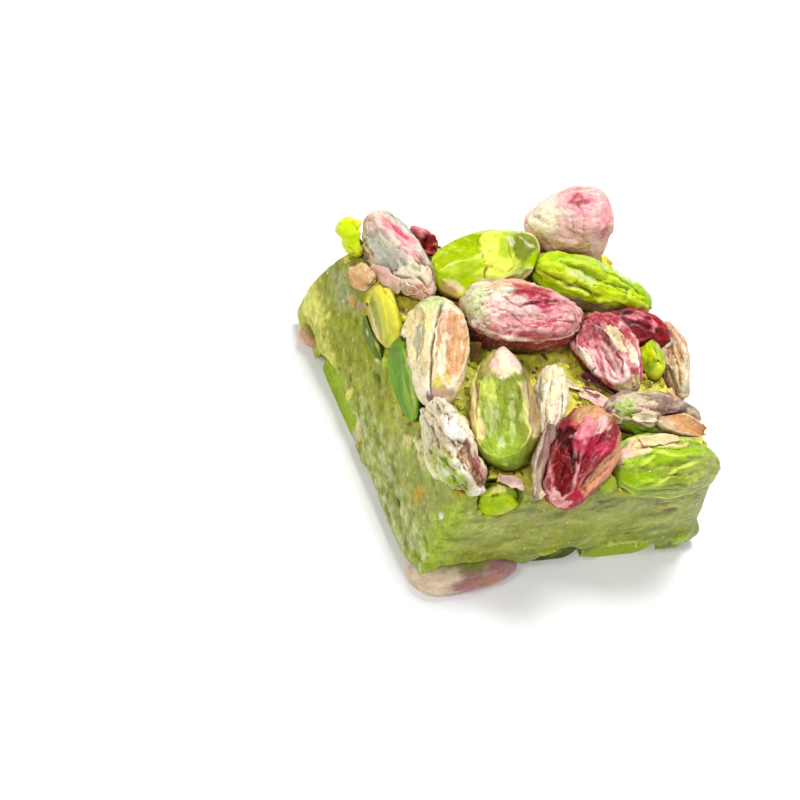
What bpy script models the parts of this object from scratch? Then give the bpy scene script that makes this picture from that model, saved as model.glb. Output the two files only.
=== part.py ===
"""A piece of pistachio nougat bar: a soft green slab studded with pistachio kernels above and below.

X runs along the front edge, Y to the back and Z up. The bar rests on its lower kernels at Z = 0,
and the origin is the middle of its base.
"""

import math
from dataclasses import dataclass

import bmesh
import bpy
from mathutils import Matrix, Vector, noise

MM = 0.001

# Slab: the knife left it wider at the base than at the top, and it rests just clear of the table.
TOP_HALF = (18.8, 19.8)
BASE_HALF = (21.2, 21.6)
SLAB_BOTTOM = 0.9
SLAB_TOP = 15.6
SLAB_CELLS = (16, 17, 5)
TOP_RADIUS = 1.9
BASE_RADIUS = 1.1
SIDE_BULGE = 0.5
RIGHT_BULGE = 1.4
BACK_SWELL = (-0.8, 0.6)
FRONT_FOOT = (-0.2, -1.5, 0.5)
LUMP_HEIGHT = 0.45
LUMP_SIZE = 7.5
TOP_HOLLOW = 0.9

# The gap kept round a kernel where it sinks into the slab or presses on another kernel.
SOCKET_GAP = 0.38

# Knife planes, where kernels were sliced flush with the slab.
LEFT_KNIFE_TOP = -19.35
FRONT_KNIFE_TOP = -20.5

KERNEL_RINGS = 10
KERNEL_SIDES = 16
LOWER_RINGS = 7
LOWER_SIDES = 12
SOCKET_SIDES = 12

COLOURS = {
    "nougat": (0.36, 0.47, 0.08),
    "green_flesh": (0.33, 0.55, 0.03),
    "lime_flesh": (0.56, 0.72, 0.02),
    "rose_skin": (0.55, 0.12, 0.17),
    "red_skin": (0.38, 0.02, 0.03),
    "tan_skin": (0.66, 0.43, 0.25),
    "cream_skin": (0.76, 0.69, 0.46),
    "grey_skin": (0.42, 0.36, 0.33),
}


@dataclass(frozen=True)
class Kernel:
    """A whole or broken kernel. Its own X runs from its blunt end to its tip, and its own Z is up."""

    name: str
    finish: str
    at: tuple
    size: tuple
    yaw: float = 0.0
    pitch: float = 0.0
    roll: float = 0.0
    tip: float = 1.7
    blunt: float = 2.6
    taper: float = 0.12
    pinch: float = 0.15
    ridge: tuple = ()
    grooves: tuple = ()
    wrinkle: float = 0.03
    bend: float = 0.0
    sweep: float = 0.0
    cuts: tuple = ()
    knife: str = ""
    rings: int = KERNEL_RINGS
    sides: int = KERNEL_SIDES
    seed: float = 0.0


@dataclass(frozen=True)
class SkinSheet:
    """A loose sheet of papery skin. Its own X runs along it, and its own Z is its upper side."""

    name: str
    finish: str
    at: tuple
    size: tuple
    yaw: float = 0.0
    pitch: float = 0.0
    roll: float = 0.0
    curl: float = 0.6
    thickness: float = 0.6
    seed: float = 0.0


TOP_KERNELS = (
    Kernel("torn_skin_kernel", "grey_skin", (-14.0, 15.4, 17.6), (13.8, 6.8, 6.4), -72, -4, 18,
           grooves=((75, 0.16, 14),), wrinkle=0.07, seed=1.0),
    Kernel("cut_green_kernel", "lime_flesh", (-1.9, 14.1, 17.8), (17.6, 8.8, 7.8), 17, 2, -8,
           tip=2.0, cuts=(((-2.5, -1.0, 2.1), (-0.45, -0.55, 0.9)), ((3.5, -1.5, 2.0), (0.25, -0.7, 0.8))),
           seed=2.0),
    Kernel("pale_pink_kernel", "cream_skin", (11.9, 18.9, 19.5), (11.4, 9.0, 10.4), 168, -6, 10,
           tip=1.6, taper=0.3, pinch=0.35, ridge=(88, 0.08, 24), wrinkle=0.03, seed=3.0),
    Kernel("bright_green_kernel", "green_flesh", (12.6, 9.8, 17.4), (16.6, 7.8, 6.4), -23, -3, 6,
           grooves=((60, 0.14, 13), (105, 0.17, 13), (150, 0.12, 13)), wrinkle=0.05, seed=4.0),
    Kernel("rosy_kernel", "rose_skin", (-1.2, 4.5, 18.3), (16.9, 9.5, 8.8), -7, 0, -6,
           ridge=(-20, 0.07, 16), grooves=((62, 0.09, 20),), wrinkle=0.04, seed=5.0),
    Kernel("lobed_pink_kernel", "rose_skin", (9.5, -1.9, 17.6), (11.6, 8.2, 6.6), -80, -6, 8,
           taper=0.2, grooves=((95, 0.3, 15),), wrinkle=0.05, seed=6.0),
    Kernel("dark_red_kernel", "red_skin", (16.5, 2.5, 16.9), (8.8, 5.2, 5.6), -22, -2, 0,
           wrinkle=0.04, rings=8, sides=14, seed=7.0),
    Kernel("lime_chip_right", "lime_flesh", (16.2, -1.9, 16.2), (5.6, 3.0, 4.2), -110, -6, 0,
           rings=6, sides=10, seed=8.0),
    Kernel("tan_cream_kernel", "cream_skin", (-15.2, -0.1, 17.3), (17.0, 8.0, 7.0), -111, -3, 12,
           ridge=(78, 0.06, 14), grooves=((98, 0.14, 12),), wrinkle=0.04, seed=9.0),
    Kernel("upright_green_kernel", "green_flesh", (-10.0, -9.4, 17.8), (17.2, 8.4, 7.6), 71, 6, -4,
           tip=1.6, taper=0.2, wrinkle=0.02, seed=10.0),
    Kernel("cream_sliver", "cream_skin", (-2.9, -9.4, 17.3), (13.2, 4.0, 4.4), -119, -2, 0,
           tip=2.2, wrinkle=0.05, rings=8, sides=10, seed=11.0),
    Kernel("open_red_kernel", "red_skin", (-2.7, -17.3, 16.9), (15.2, 8.0, 7.4), -136, -9, 6,
           grooves=((70, 0.34, 13),), wrinkle=0.07, seed=12.0),
    Kernel("corner_green_kernel", "green_flesh", (10.6, -18.2, 15.6), (15.6, 7.8, 5.8), -4, 0, 22,
           tip=2.2, grooves=((60, 0.16, 14), (112, 0.12, 15)), wrinkle=0.06, seed=13.0),
    Kernel("purple_skin_kernel", "grey_skin", (12.0, -11.2, 16.5), (13.2, 5.2, 5.2), -10, -2, 8,
           wrinkle=0.06, rings=9, sides=14, seed=14.0),
    Kernel("crushed_cream_kernel", "cream_skin", (-18.1, -13.1, 15.7), (12.8, 7.8, 5.8), -76, -4, -10,
           grooves=((60, 0.2, 16), (130, 0.16, 14)), wrinkle=0.12, knife="left", seed=15.0),
    Kernel("edge_skin_kernel", "tan_skin", (20.2, -1.9, 14.9), (12.8, 4.0, 5.0), -104, -1, -20,
           wrinkle=0.08, rings=8, sides=12, seed=16.0),
    Kernel("red_chip_back", "red_skin", (-9.9, 17.8, 18.0), (4.6, 3.0, 3.6), -40, -10, 0,
           rings=5, sides=9, wrinkle=0.09, seed=17.0),
    Kernel("lime_nub_back", "lime_flesh", (-18.4, 20.0, 16.4), (4.4, 3.2, 4.8), -80, 20, 0,
           rings=6, sides=10, seed=18.0),
)

SLICED_KERNELS = (
    Kernel("leaf_green_slice", "green_flesh", (-18.5, -1.6, 14.3), (11.2, 4.2, 4.8), -100, -10, 0,
           knife="left", rings=8, sides=12, seed=21.0),
    Kernel("yellow_slice", "lime_flesh", (-18.2, 8.2, 14.8), (8.4, 3.8, 3.8), -96, -12, 0,
           knife="left", rings=7, sides=12, seed=22.0),
    Kernel("tan_slice", "tan_skin", (-18.6, 15.2, 14.7), (4.2, 2.8, 3.0), -80, 30, 0,
           knife="left", rings=6, sides=10, seed=23.0),
    Kernel("dark_green_slice", "green_flesh", (-19.1, 6.9, 12.4), (6.6, 2.4, 2.2), -88, -16, 0,
           knife="left", rings=6, sides=10, seed=24.0),
    Kernel("lime_slice_front", "lime_flesh", (-13.2, -19.2, 13.2), (6.0, 4.4, 3.8), -4, 0, 0,
           knife="front", rings=6, sides=10, seed=25.0),
)

# The kernels pressed into the base, each cut flat where it stands on the table.
LOWER_KERNELS = tuple(
    Kernel(name, finish, at, size, yaw, rings=LOWER_RINGS, sides=LOWER_SIDES, seed=40.0 + place)
    for place, (name, finish, at, size, yaw) in enumerate(
        (
            ("lower_pink_corner", "rose_skin", (-13.4, -20.6, 1.3), (15.6, 6.6, 5.0), 5),
            ("lower_green_front", "green_flesh", (0.6, -17.0, 1.9), (12.6, 7.8, 5.4), 66),
            ("lower_lime_front", "lime_flesh", (10.4, -19.3, 1.9), (12.0, 6.4, 5.4), 8),
            ("lower_green_corner", "green_flesh", (19.4, -15.6, 1.9), (10.0, 5.6, 5.0), 104),
            ("lower_green_left", "green_flesh", (-20.0, 6.2, 1.5), (14.0, 5.2, 4.6), -92),
            ("lower_cream_left", "cream_skin", (-13.4, -6.4, 2.5), (12.4, 7.0, 5.4), 150),
            ("lower_tan_left", "tan_skin", (-15.4, 16.2, 1.9), (12.6, 6.0, 4.8), 176),
            ("lower_lime_back", "lime_flesh", (-1.6, 18.2, 2.6), (15.0, 7.4, 5.8), -8),
            ("lower_rosy_middle", "rose_skin", (-6.4, 5.6, 2.5), (15.4, 8.2, 5.8), 38),
            ("lower_green_middle", "green_flesh", (3.0, -4.6, 2.5), (15.0, 7.6, 5.6), -32),
            ("lower_pink_right", "rose_skin", (18.2, -1.4, 2.6), (15.4, 7.2, 5.8), 86),
            ("lower_cream_back", "cream_skin", (13.8, 14.8, 2.6), (15.0, 7.8, 5.8), 142),
        )
    )
)

SKIN_SHEETS = (
    SkinSheet("grey_skin_sheet", "grey_skin", (-8.2, -17.6, 17.5), (10.4, 3.2), -118, -18, -30,
              seed=31.0),
    SkinSheet("tan_skin_sheet", "tan_skin", (14.1, -14.2, 17.3), (7.0, 2.6), -16, -4, 8,
              seed=32.0),
)

# Pairs that press on each other: the first is pared back to a gap round the second.
PARED = (
    ("dark_red_kernel", "bright_green_kernel"),
    ("cream_sliver", "open_red_kernel"),
    ("crushed_cream_kernel", "tan_cream_kernel"),
    ("crushed_cream_kernel", "upright_green_kernel"),
    ("cut_green_kernel", "rosy_kernel"),
    ("edge_skin_kernel", "dark_red_kernel"),
    ("lime_chip_right", "dark_red_kernel"),
    ("grey_skin_sheet", "open_red_kernel"),
    ("purple_skin_kernel", "tan_skin_sheet"),
    ("tan_cream_kernel", "leaf_green_slice"),
    ("dark_green_slice", "yellow_slice"),
    ("lime_nub_back", "torn_skin_kernel"),
    ("red_chip_back", "torn_skin_kernel"),
    ("lobed_pink_kernel", "rosy_kernel"),
)


def mixed(low, high, share):
    """The value a share of the way from low to high."""
    return low + (high - low) * share


def lump(point, size, seed):
    """Smooth noise from -1 to 1 at a point, with lumps of the given size."""
    return noise.noise(Vector(point) / size + Vector((seed, 2.3 * seed, -1.7 * seed)))


def turned_away(angle, centre):
    """The smallest turn between two angles, in degrees."""
    return (angle - centre + 180.0) % 360.0 - 180.0


def bump(angle, centre, width):
    """A smooth bump that is 1 at the centre angle and fades over the given width, in degrees."""
    return math.exp(-((turned_away(angle, centre) / width) ** 2))


def material_for(finish):
    """The finish's material, made once."""
    found = bpy.data.materials.get(finish)
    if found:
        return found
    made = bpy.data.materials.new(finish)
    made.use_nodes = True
    shader = made.node_tree.nodes["Principled BSDF"]
    shader.inputs["Base Color"].default_value = (*COLOURS[finish], 1.0)
    shader.inputs["Roughness"].default_value = 0.45
    shader.inputs["Metallic"].default_value = 0.0
    return made


def placement(piece):
    """The piece's place as a matrix in millimetres: yaw about Z, then pitch that lifts its tip, then roll."""
    turn = (
        Matrix.Rotation(math.radians(piece.yaw), 4, "Z")
        @ Matrix.Rotation(math.radians(-piece.pitch), 4, "Y")
        @ Matrix.Rotation(math.radians(piece.roll), 4, "X")
    )
    return Matrix.Translation(piece.at) @ turn


def add_object(name, mesh_data, place, finish, parent):
    """An object of a mesh in millimetres, scaled to metres in its mesh and placed under its parent."""
    mesh = bpy.data.meshes.new(name)
    mesh_data.transform(Matrix.Scale(MM, 4))
    mesh_data.to_mesh(mesh)
    mesh_data.free()
    mesh.shade_smooth()
    made = bpy.data.objects.new(name, mesh)
    made.matrix_world = Matrix.Translation(place.translation * MM) @ place.to_3x3().to_4x4()
    made.parent = parent
    mesh.materials.append(material_for(finish))
    bpy.context.scene.collection.objects.link(made)
    return made


def kernel_point(kernel, along, angle, grow):
    """The kernel's surface at a share along it, -1 to 1, and an angle about it, grown outwards."""
    half_length, half_width, half_height = (0.5 * side for side in kernel.size)
    power = kernel.blunt if along < 0 else kernel.tip
    profile = math.sqrt(max(0.0, 1.0 - abs(along) ** power)) * (1.0 - kernel.taper * along)
    radians = math.radians(angle)
    across, up = math.cos(radians), math.sin(radians)
    swell = 1.0
    if kernel.ridge:
        centre, height, width = kernel.ridge
        swell += height * bump(angle, centre, width)
    for centre, depth, width in kernel.grooves:
        swell -= depth * bump(angle, centre, width) * (1.0 - along * along)
    swell += kernel.wrinkle * lump((1.4 * along, 2.4 * across, 2.4 * up), 1.0, kernel.seed)
    narrow = 1.0 - kernel.pinch * max(0.0, up) ** 2
    arch = along * along - 0.33
    return Vector(
        (
            (half_length + grow) * along,
            (half_width * swell * profile + grow) * across * narrow + kernel.sweep * arch,
            (half_height * swell * profile + grow) * up + kernel.bend * arch,
        )
    )


def kernel_shell(kernel, sides, grow=0.0):
    """The kernel's closed skin as rings of points between its two ends."""
    shell = bmesh.new()
    rings = []
    for ring in range(1, kernel.rings):
        along = -math.cos(math.pi * ring / kernel.rings)
        corners = [kernel_point(kernel, along, 360.0 * side / sides, grow) for side in range(sides)]
        rings.append([shell.verts.new(corner) for corner in corners])
    ends = []
    for end in (-1, 1):
        ends.append(shell.verts.new(kernel_point(kernel, end, 0.0, 0.0) + Vector((end * grow, 0, 0))))
    for side in range(sides):
        following = (side + 1) % sides
        shell.faces.new((ends[0], rings[0][following], rings[0][side]))
        shell.faces.new((ends[1], rings[-1][side], rings[-1][following]))
        for near, far in zip(rings, rings[1:]):
            shell.faces.new((near[side], near[following], far[following], far[side]))
    return shell


def slice_off(shell, point, normal):
    """Cuts away what lies past the plane and closes the cut with a flat face."""
    geometry = list(shell.verts) + list(shell.edges) + list(shell.faces)
    cut = bmesh.ops.bisect_plane(
        shell, geom=geometry, plane_co=point, plane_no=normal, clear_outer=True, dist=1e-4
    )
    rim = [edge for edge in cut["geom_cut"] if isinstance(edge, bmesh.types.BMEdge)]
    if rim:
        bmesh.ops.holes_fill(shell, edges=rim, sides=0)


def knife_plane(name):
    """A point and the outward normal of the side that the knife cut, in the bar's frame."""
    rise = SLAB_TOP - SLAB_BOTTOM
    if name == "left":
        outward = Vector((-rise, 0, BASE_HALF[0] - TOP_HALF[0]))
        return Vector((LEFT_KNIFE_TOP, 0, SLAB_TOP)), outward.normalized()
    outward = Vector((0, -rise, BASE_HALF[1] - TOP_HALF[1]))
    return Vector((0, FRONT_KNIFE_TOP, SLAB_TOP)), outward.normalized()


def shaped_kernel(kernel, sides, grow=0.0):
    """The kernel's mesh in its own frame, with its breaks, its knife cut and its flat foot."""
    shell = kernel_shell(kernel, sides, grow)
    for point, normal in kernel.cuts:
        direction = Vector(normal).normalized()
        slice_off(shell, Vector(point) + direction * grow, direction)
    to_own = placement(kernel).inverted()
    planes = []
    if kernel.knife and not grow:
        planes.append(knife_plane(kernel.knife))
    if kernel in LOWER_KERNELS and not grow:
        planes.append((Vector((0, 0, 0)), Vector((0, 0, -1))))
    for point, normal in planes:
        slice_off(shell, to_own @ point, to_own.to_3x3() @ normal)
    return shell


def sheet_point(sheet, along, across, side):
    """A point on the upper or lower side of a skin sheet: a leaf outline, curled and a little wavy."""
    length, width = sheet.size
    half = 0.5 * width * (1.0 - 0.75 * along * along) + 0.15
    edge = 1.0 + 0.18 * lump((3.0 * along, across, 0), 1.0, sheet.seed)
    wave = 0.5 * lump((2.2 * along, 1.6 * across, 0), 1.0, sheet.seed + 5.0)
    rise = sheet.curl * across * across + wave
    return Vector((0.5 * length * along, half * edge * across, rise + 0.5 * sheet.thickness * side))


def sheet_shell(sheet, grow=0.0, steps=8, lanes=4):
    """The sheet's closed mesh, both of its faces split alike."""
    shell = bmesh.new()
    grown = SkinSheet(
        sheet.name, sheet.finish, sheet.at, (sheet.size[0] + 2 * grow, sheet.size[1] + 2 * grow),
        curl=sheet.curl, thickness=sheet.thickness + 2 * grow, seed=sheet.seed,
    )
    grid = {}
    for step in range(steps + 1):
        for lane in range(lanes + 1):
            for side in (-1, 1):
                spot = sheet_point(grown, 2.0 * step / steps - 1.0, 2.0 * lane / lanes - 1.0, side)
                grid[step, lane, side] = shell.verts.new(spot)
    for step in range(steps):
        for lane in range(lanes):
            cells = [(step, lane), (step, lane + 1), (step + 1, lane + 1), (step + 1, lane)]
            low = [grid[*cell, -1] for cell in cells]
            high = [grid[*cell, 1] for cell in (cells[0], cells[3], cells[2], cells[1])]
            for face in (low, high):
                shell.faces.new(face[:3])
                shell.faces.new((face[0], face[2], face[3]))
    rim = [(step, 0) for step in range(steps)] + [(steps, lane) for lane in range(lanes)]
    rim += [(step, lanes) for step in range(steps, 0, -1)] + [(0, lane) for lane in range(lanes, 0, -1)]
    for here, there in zip(rim, rim[1:] + rim[:1]):
        shell.faces.new((grid[*here, -1], grid[*there, -1], grid[*there, 1], grid[*here, 1]))
    return shell


def slab_point(across, deep, high):
    """The slab's surface at shares -1 to 1 across and deep, and 0 to 1 high: a rounded, flared block."""
    half = [mixed(BASE_HALF[axis], TOP_HALF[axis], high) for axis in range(2)]
    height = SLAB_TOP - SLAB_BOTTOM
    radius = mixed(BASE_RADIUS, TOP_RADIUS, high)
    raw = Vector((half[0] * across, half[1] * deep, height * (high - 0.5)))
    inner = Vector((half[0] - radius, half[1] - radius, 0.5 * height - radius))
    core = Vector([max(-limit, min(limit, value)) for value, limit in zip(raw, inner)])
    out = raw - core
    spot = core + out.normalized() * radius if out.length > 1e-6 else raw
    middle = 4.0 * high * (1.0 - high)
    spot.x += max(0.0, across) * SIDE_BULGE * (1.0 - deep * deep) * middle
    spot.y += deep * SIDE_BULGE * (1.0 - across * across) * middle
    spot.x += max(0.0, across) * RIGHT_BULGE * (1.0 - (deep - 0.2) ** 2) * high
    back_left = max(0.0, -across) ** 2 * max(0.0, deep) ** 3
    spot += back_left * (0.2 + 0.8 * middle) * Vector((*BACK_SWELL, 0.0))
    front_left = max(0.0, -across) ** 2 * max(0.0, -deep) ** 3
    spot += front_left * (1.0 - high) ** 2 * Vector(FRONT_FOOT)
    if high > 0.99:
        spot.z -= TOP_HOLLOW * (1.0 - across**2) * (1.0 - deep**2)
    spot.z += 0.5 * (SLAB_TOP + SLAB_BOTTOM)
    waves = Vector([lump(spot, LUMP_SIZE, seed) for seed in (3.1, 7.7, 11.3)])
    return spot + LUMP_HEIGHT * waves


def slab_shell():
    """The slab's closed mesh: a lattice over the six sides of a box, shaped by slab_point."""
    shell = bmesh.new()
    across, deep, high = SLAB_CELLS
    corners = {}

    def corner(cell):
        if cell not in corners:
            shares = (2.0 * cell[0] / across - 1.0, 2.0 * cell[1] / deep - 1.0, cell[2] / high)
            corners[cell] = shell.verts.new(slab_point(*shares))
        return corners[cell]

    def side(fixed_axis, fixed, outward):
        first, second = [axis for axis in range(3) if axis != fixed_axis]
        for i in range(SLAB_CELLS[first]):
            for j in range(SLAB_CELLS[second]):
                quad = []
                for di, dj in ((0, 0), (1, 0), (1, 1), (0, 1)):
                    cell = [0, 0, 0]
                    cell[fixed_axis], cell[first], cell[second] = fixed, i + di, j + dj
                    quad.append(corner(tuple(cell)))
                shell.faces.new(quad if outward else quad[::-1])

    for axis in range(3):
        faces_out = axis != 1
        side(axis, SLAB_CELLS[axis], faces_out)
        side(axis, 0, not faces_out)
    return shell


def hide_cutter(cutter):
    """Marks an object as a tool that cuts others and isn't itself a piece."""
    cutter.hide_render = True
    cutter.display_type = "WIRE"


def cut_with(target, cutter, label):
    """Cuts one object, or a collection of them, from the target."""
    boolean = target.modifiers.new(label, "BOOLEAN")
    boolean.operation = "DIFFERENCE"
    boolean.solver = "EXACT"
    if isinstance(cutter, bpy.types.Collection):
        boolean.operand_type = "COLLECTION"
        boolean.collection = cutter
    else:
        boolean.object = cutter


def rest_on_origin(bar, pieces):
    """Moves the bar so that the middle of its base is the origin."""
    bpy.context.view_layer.update()
    spots = [piece.matrix_world @ corner.co for piece in pieces for corner in piece.data.vertices]
    for axis in range(2):
        values = [spot[axis] for spot in spots]
        bar.location[axis] = -0.5 * (min(values) + max(values))


def build():
    """Makes the slab and every kernel and sheet, with sockets where they sink into each other."""
    for old in list(bpy.data.objects):
        bpy.data.objects.remove(old)
    bar = bpy.data.objects.new("nougat_bar", None)
    bpy.context.scene.collection.objects.link(bar)
    socket_group = bpy.data.collections.new("sockets")
    bpy.context.scene.collection.children.link(socket_group)
    socket_group.hide_render = True
    slab = add_object("nougat_slab", slab_shell(), Matrix.Identity(4), "nougat", bar)
    pieces = {}
    sockets = {}
    for kernel in TOP_KERNELS + SLICED_KERNELS + LOWER_KERNELS:
        place = placement(kernel)
        shell = shaped_kernel(kernel, kernel.sides)
        pieces[kernel.name] = add_object(kernel.name, shell, place, kernel.finish, bar)
        shell = shaped_kernel(kernel, min(kernel.sides, SOCKET_SIDES), SOCKET_GAP)
        sockets[kernel.name] = add_object("socket_" + kernel.name, shell, place, "nougat", bar)
    for sheet in SKIN_SHEETS:
        place = placement(sheet)
        pieces[sheet.name] = add_object(sheet.name, sheet_shell(sheet), place, sheet.finish, bar)
        shell = sheet_shell(sheet, SOCKET_GAP)
        sockets[sheet.name] = add_object("socket_" + sheet.name, shell, place, "nougat", bar)
    for socket in sockets.values():
        hide_cutter(socket)
        bpy.context.scene.collection.objects.unlink(socket)
        socket_group.objects.link(socket)
    cut_with(slab, socket_group, "Sockets")
    for pared, pressing in PARED:
        cut_with(pieces[pared], sockets[pressing], "Clear of " + pressing)
    rest_on_origin(bar, [slab, *pieces.values()])


build()
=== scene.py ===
"""Looks for a cut bar of green pistachio nougat, set thick with shelled kernels.

Every kernel, slice and sheet of skin is grown from its CAD node: its mesh is copied, rounded,
remeshed fine, wrinkled and painted in its own lengthwise coordinates. The paste is the CAD slab
with lumps, pits and knife streaks, drawn up to the kernels that it holds. Crumbs, grains and specks
are scattered by Geometry Nodes, and loose flakes of skin are laid on the kernels.
"""

import logging
import math
from dataclasses import dataclass, field
from enum import Enum

import bmesh
import bpy
import numpy as np
from mathutils import Matrix, Vector
from mathutils.bvhtree import BVHTree


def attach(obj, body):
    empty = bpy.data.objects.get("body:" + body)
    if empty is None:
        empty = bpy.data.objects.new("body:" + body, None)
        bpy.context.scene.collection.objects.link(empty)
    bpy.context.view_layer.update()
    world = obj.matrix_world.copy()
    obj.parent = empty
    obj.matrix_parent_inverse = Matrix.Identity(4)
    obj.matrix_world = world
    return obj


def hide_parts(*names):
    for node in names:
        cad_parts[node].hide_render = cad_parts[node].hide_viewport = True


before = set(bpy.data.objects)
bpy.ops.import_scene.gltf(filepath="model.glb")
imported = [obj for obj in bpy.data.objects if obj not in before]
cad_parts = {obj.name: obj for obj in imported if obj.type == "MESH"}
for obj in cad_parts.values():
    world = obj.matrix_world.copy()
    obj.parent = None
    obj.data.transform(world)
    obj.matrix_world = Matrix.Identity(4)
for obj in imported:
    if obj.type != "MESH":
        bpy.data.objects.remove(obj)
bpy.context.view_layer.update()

log = logging.getLogger("nougat_bar")

MM = 0.001
KERNEL_VOXEL = 0.15
LOWER_VOXEL = 0.26
SLAB_VOXEL = 0.3
# Painted shade on kernels that sit low in the paste starts below this level and fades out over this rise.
SUNK_SHADE_LEVEL = 15.3
SUNK_SHADE_RISE = 1.7
# The span over which painted shade fades out towards the bar's outer edges.
EDGE_SPAN = (17.6, 19.4)
# How strongly each channel is darkened: painted shade in kernel dents, dark fibre flecks, painted shade where
# kernels touch or sit low, and painted shade in the paste's dents and next to kernels.
DENT_SHADE_TINT = (0.72, 0.92, 1.0)
FLECK_TINT = (0.7, 0.95, 1.0)
CONTACT_SHADE_TINT = (0.58, 0.7, 0.8)
SUNK_SHADE_TINT = (0.6, 0.74, 0.8)
PASTE_DENT_SHADE_TINT = (0.8, 0.85, 1.0)
PASTE_CONTACT_SHADE_TINT = (0.22, 0.3, 0.5)
PAINT = "paint"
GLOSS = "gloss"
OWN = "own"


class Slot(Enum):
    """The record's material slots, which name the finishes."""

    NOUGAT = "nougat"
    GREEN = "green_flesh"
    LIME = "lime_flesh"
    ROSE = "rose_skin"
    RED = "red_skin"
    TAN = "tan_skin"
    CREAM = "cream_skin"
    GREY = "grey_skin"


class Tone(Enum):
    """Named colours of paste, flesh and skin, as they look in daylight (red, green, blue to 255)."""

    PASTE = (146, 153, 34)
    PASTE_SAGE = (154, 161, 88)
    PASTE_PALE = (186, 192, 88)
    PASTE_OLIVE = (140, 144, 26)
    PASTE_YELLOW = (206, 200, 70)
    PASTE_GREEN = (112, 136, 8)
    PASTE_LIT = (162, 188, 38)
    PASTE_DEEP = (70, 80, 14)
    # The olive of the paste's top, painted lighter than its own colour for the light that falls on it.
    TOP_OLIVE_LIT = (230, 220, 84)
    FROST = (208, 214, 172)
    ORANGE = (206, 150, 44)
    YELLOW_PALE = (226, 222, 112)
    LIME = (158, 190, 0)
    LIME_LIT = (190, 216, 10)
    LIME_CUT = (156, 180, 0)
    LIME_PALE = (226, 238, 96)
    LEAF = (142, 172, 42)
    LEAF_VIVID = (146, 188, 0)
    LEAF_DULL = (112, 126, 36)
    LEAF_DEEP = (84, 112, 22)
    EMERALD = (92, 142, 22)
    GREEN_PALE = (186, 200, 112)
    GREEN_CUT = (134, 146, 50)
    MINT = (196, 206, 138)
    MINT_WHITE = (222, 222, 184)
    MINT_PALE = (208, 198, 132)
    SAGE = (158, 160, 132)
    YELLOW = (222, 212, 60)
    OLIVE_TAN = (184, 166, 96)
    IVORY = (240, 228, 194)
    CREAM = (228, 206, 152)
    BEIGE = (216, 196, 160)
    PEACH = (216, 160, 102)
    TAN = (208, 152, 112)
    BROWN_TAN = (160, 118, 82)
    BROWN = (104, 70, 44)
    DARK_BROWN = (56, 34, 24)
    WHITE = (248, 244, 232)
    PINK_PALE = (238, 192, 184)
    PINK_MID = (222, 156, 152)
    PINK = (236, 148, 156)
    SALMON = (222, 128, 120)
    ROSE = (208, 92, 104)
    CRIMSON = (170, 28, 52)
    MAGENTA = (204, 60, 104)
    WINE = (112, 24, 36)
    RED = (150, 20, 14)
    RED_DEEP = (112, 8, 6)
    BRICK = (132, 48, 32)
    MAROON = (66, 18, 20)
    PLUM = (112, 56, 62)
    MAUVE = (168, 116, 118)
    GREY_BLUE = (198, 196, 178)
    GREY_BROWN = (146, 124, 104)

    def colour(self) -> np.ndarray:
        """The tone as linear red, green and blue."""
        share = np.array(self.value, float) / 255.0
        return np.where(share <= 0.04045, share / 12.92, ((share + 0.055) / 1.055) ** 2.4)


def eased(low: float, high: float, value: np.ndarray) -> np.ndarray:
    """A smooth step from 0 at low to 1 at high.

    Args:
        low: Where the step starts.
        high: Where it ends.
        value: The numbers to step.

    Returns:
        The stepped numbers, 0 to 1.
    """
    share = np.clip((value - low) / (high - low), 0.0, 1.0)
    return share * share * (3.0 - 2.0 * share)


def drawn_out(points: np.ndarray, along: float, across: float = 1.0) -> np.ndarray:
    """Points scaled along and across their X, so that noise read at them runs lengthwise."""
    return points * np.array([along, across, across])


def turned_from(turn: np.ndarray, centre: np.ndarray | float) -> np.ndarray:
    """How far each turn lies from a centre, from -180 to 180 degrees."""
    return (turn - centre + 180.0) % 360.0 - 180.0


def blended(colours: np.ndarray, colour: np.ndarray, mask: np.ndarray) -> np.ndarray:
    """Colours moved towards one colour by a mask."""
    return colours + mask[:, None] * (colour - colours)


def darkened(colours: np.ndarray, mask: np.ndarray, tint: tuple[float, float, float]) -> np.ndarray:
    """Colours darkened by a mask, each channel by its share of the tint."""
    return colours * (1.0 - mask[:, None] * np.array(tint))


def rows_of(
    items: bpy.types.bpy_prop_collection, key: str, width: int, kind: type = np.float32
) -> np.ndarray:
    """A value of each of a mesh's items as an array, one row each.

    Args:
        items: The mesh's points, edges or normals.
        key: The property's name.
        width: How many numbers it has.
        kind: The type of those numbers.

    Returns:
        The array, a row for each item.
    """
    flat = np.empty(len(items) * width, kind)
    items.foreach_get(key, flat)
    return flat.reshape(-1, width)


def keep(mesh: bpy.types.Mesh, name: str, data: np.ndarray, kind: str = "FLOAT", key: str = "value") -> None:
    """Stores one value or row for each of a mesh's points as an attribute."""
    held = mesh.attributes.new(name, kind, "POINT")
    held.data.foreach_set(key, data.astype(np.float32).ravel())


def fed(tree: bpy.types.NodeTree, node: bpy.types.Node, given: dict[str | int, object]) -> bpy.types.Node:
    """Joins a node's inputs to sockets, or sets them to values.

    Args:
        tree: The node's tree.
        node: The node.
        given: A socket or a value for each input, by its name or place.

    Returns:
        The node.
    """
    for place, value in given.items():
        if isinstance(value, bpy.types.NodeSocket):
            tree.links.new(value, node.inputs[place])
        else:
            node.inputs[place].default_value = value
    return node


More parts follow.
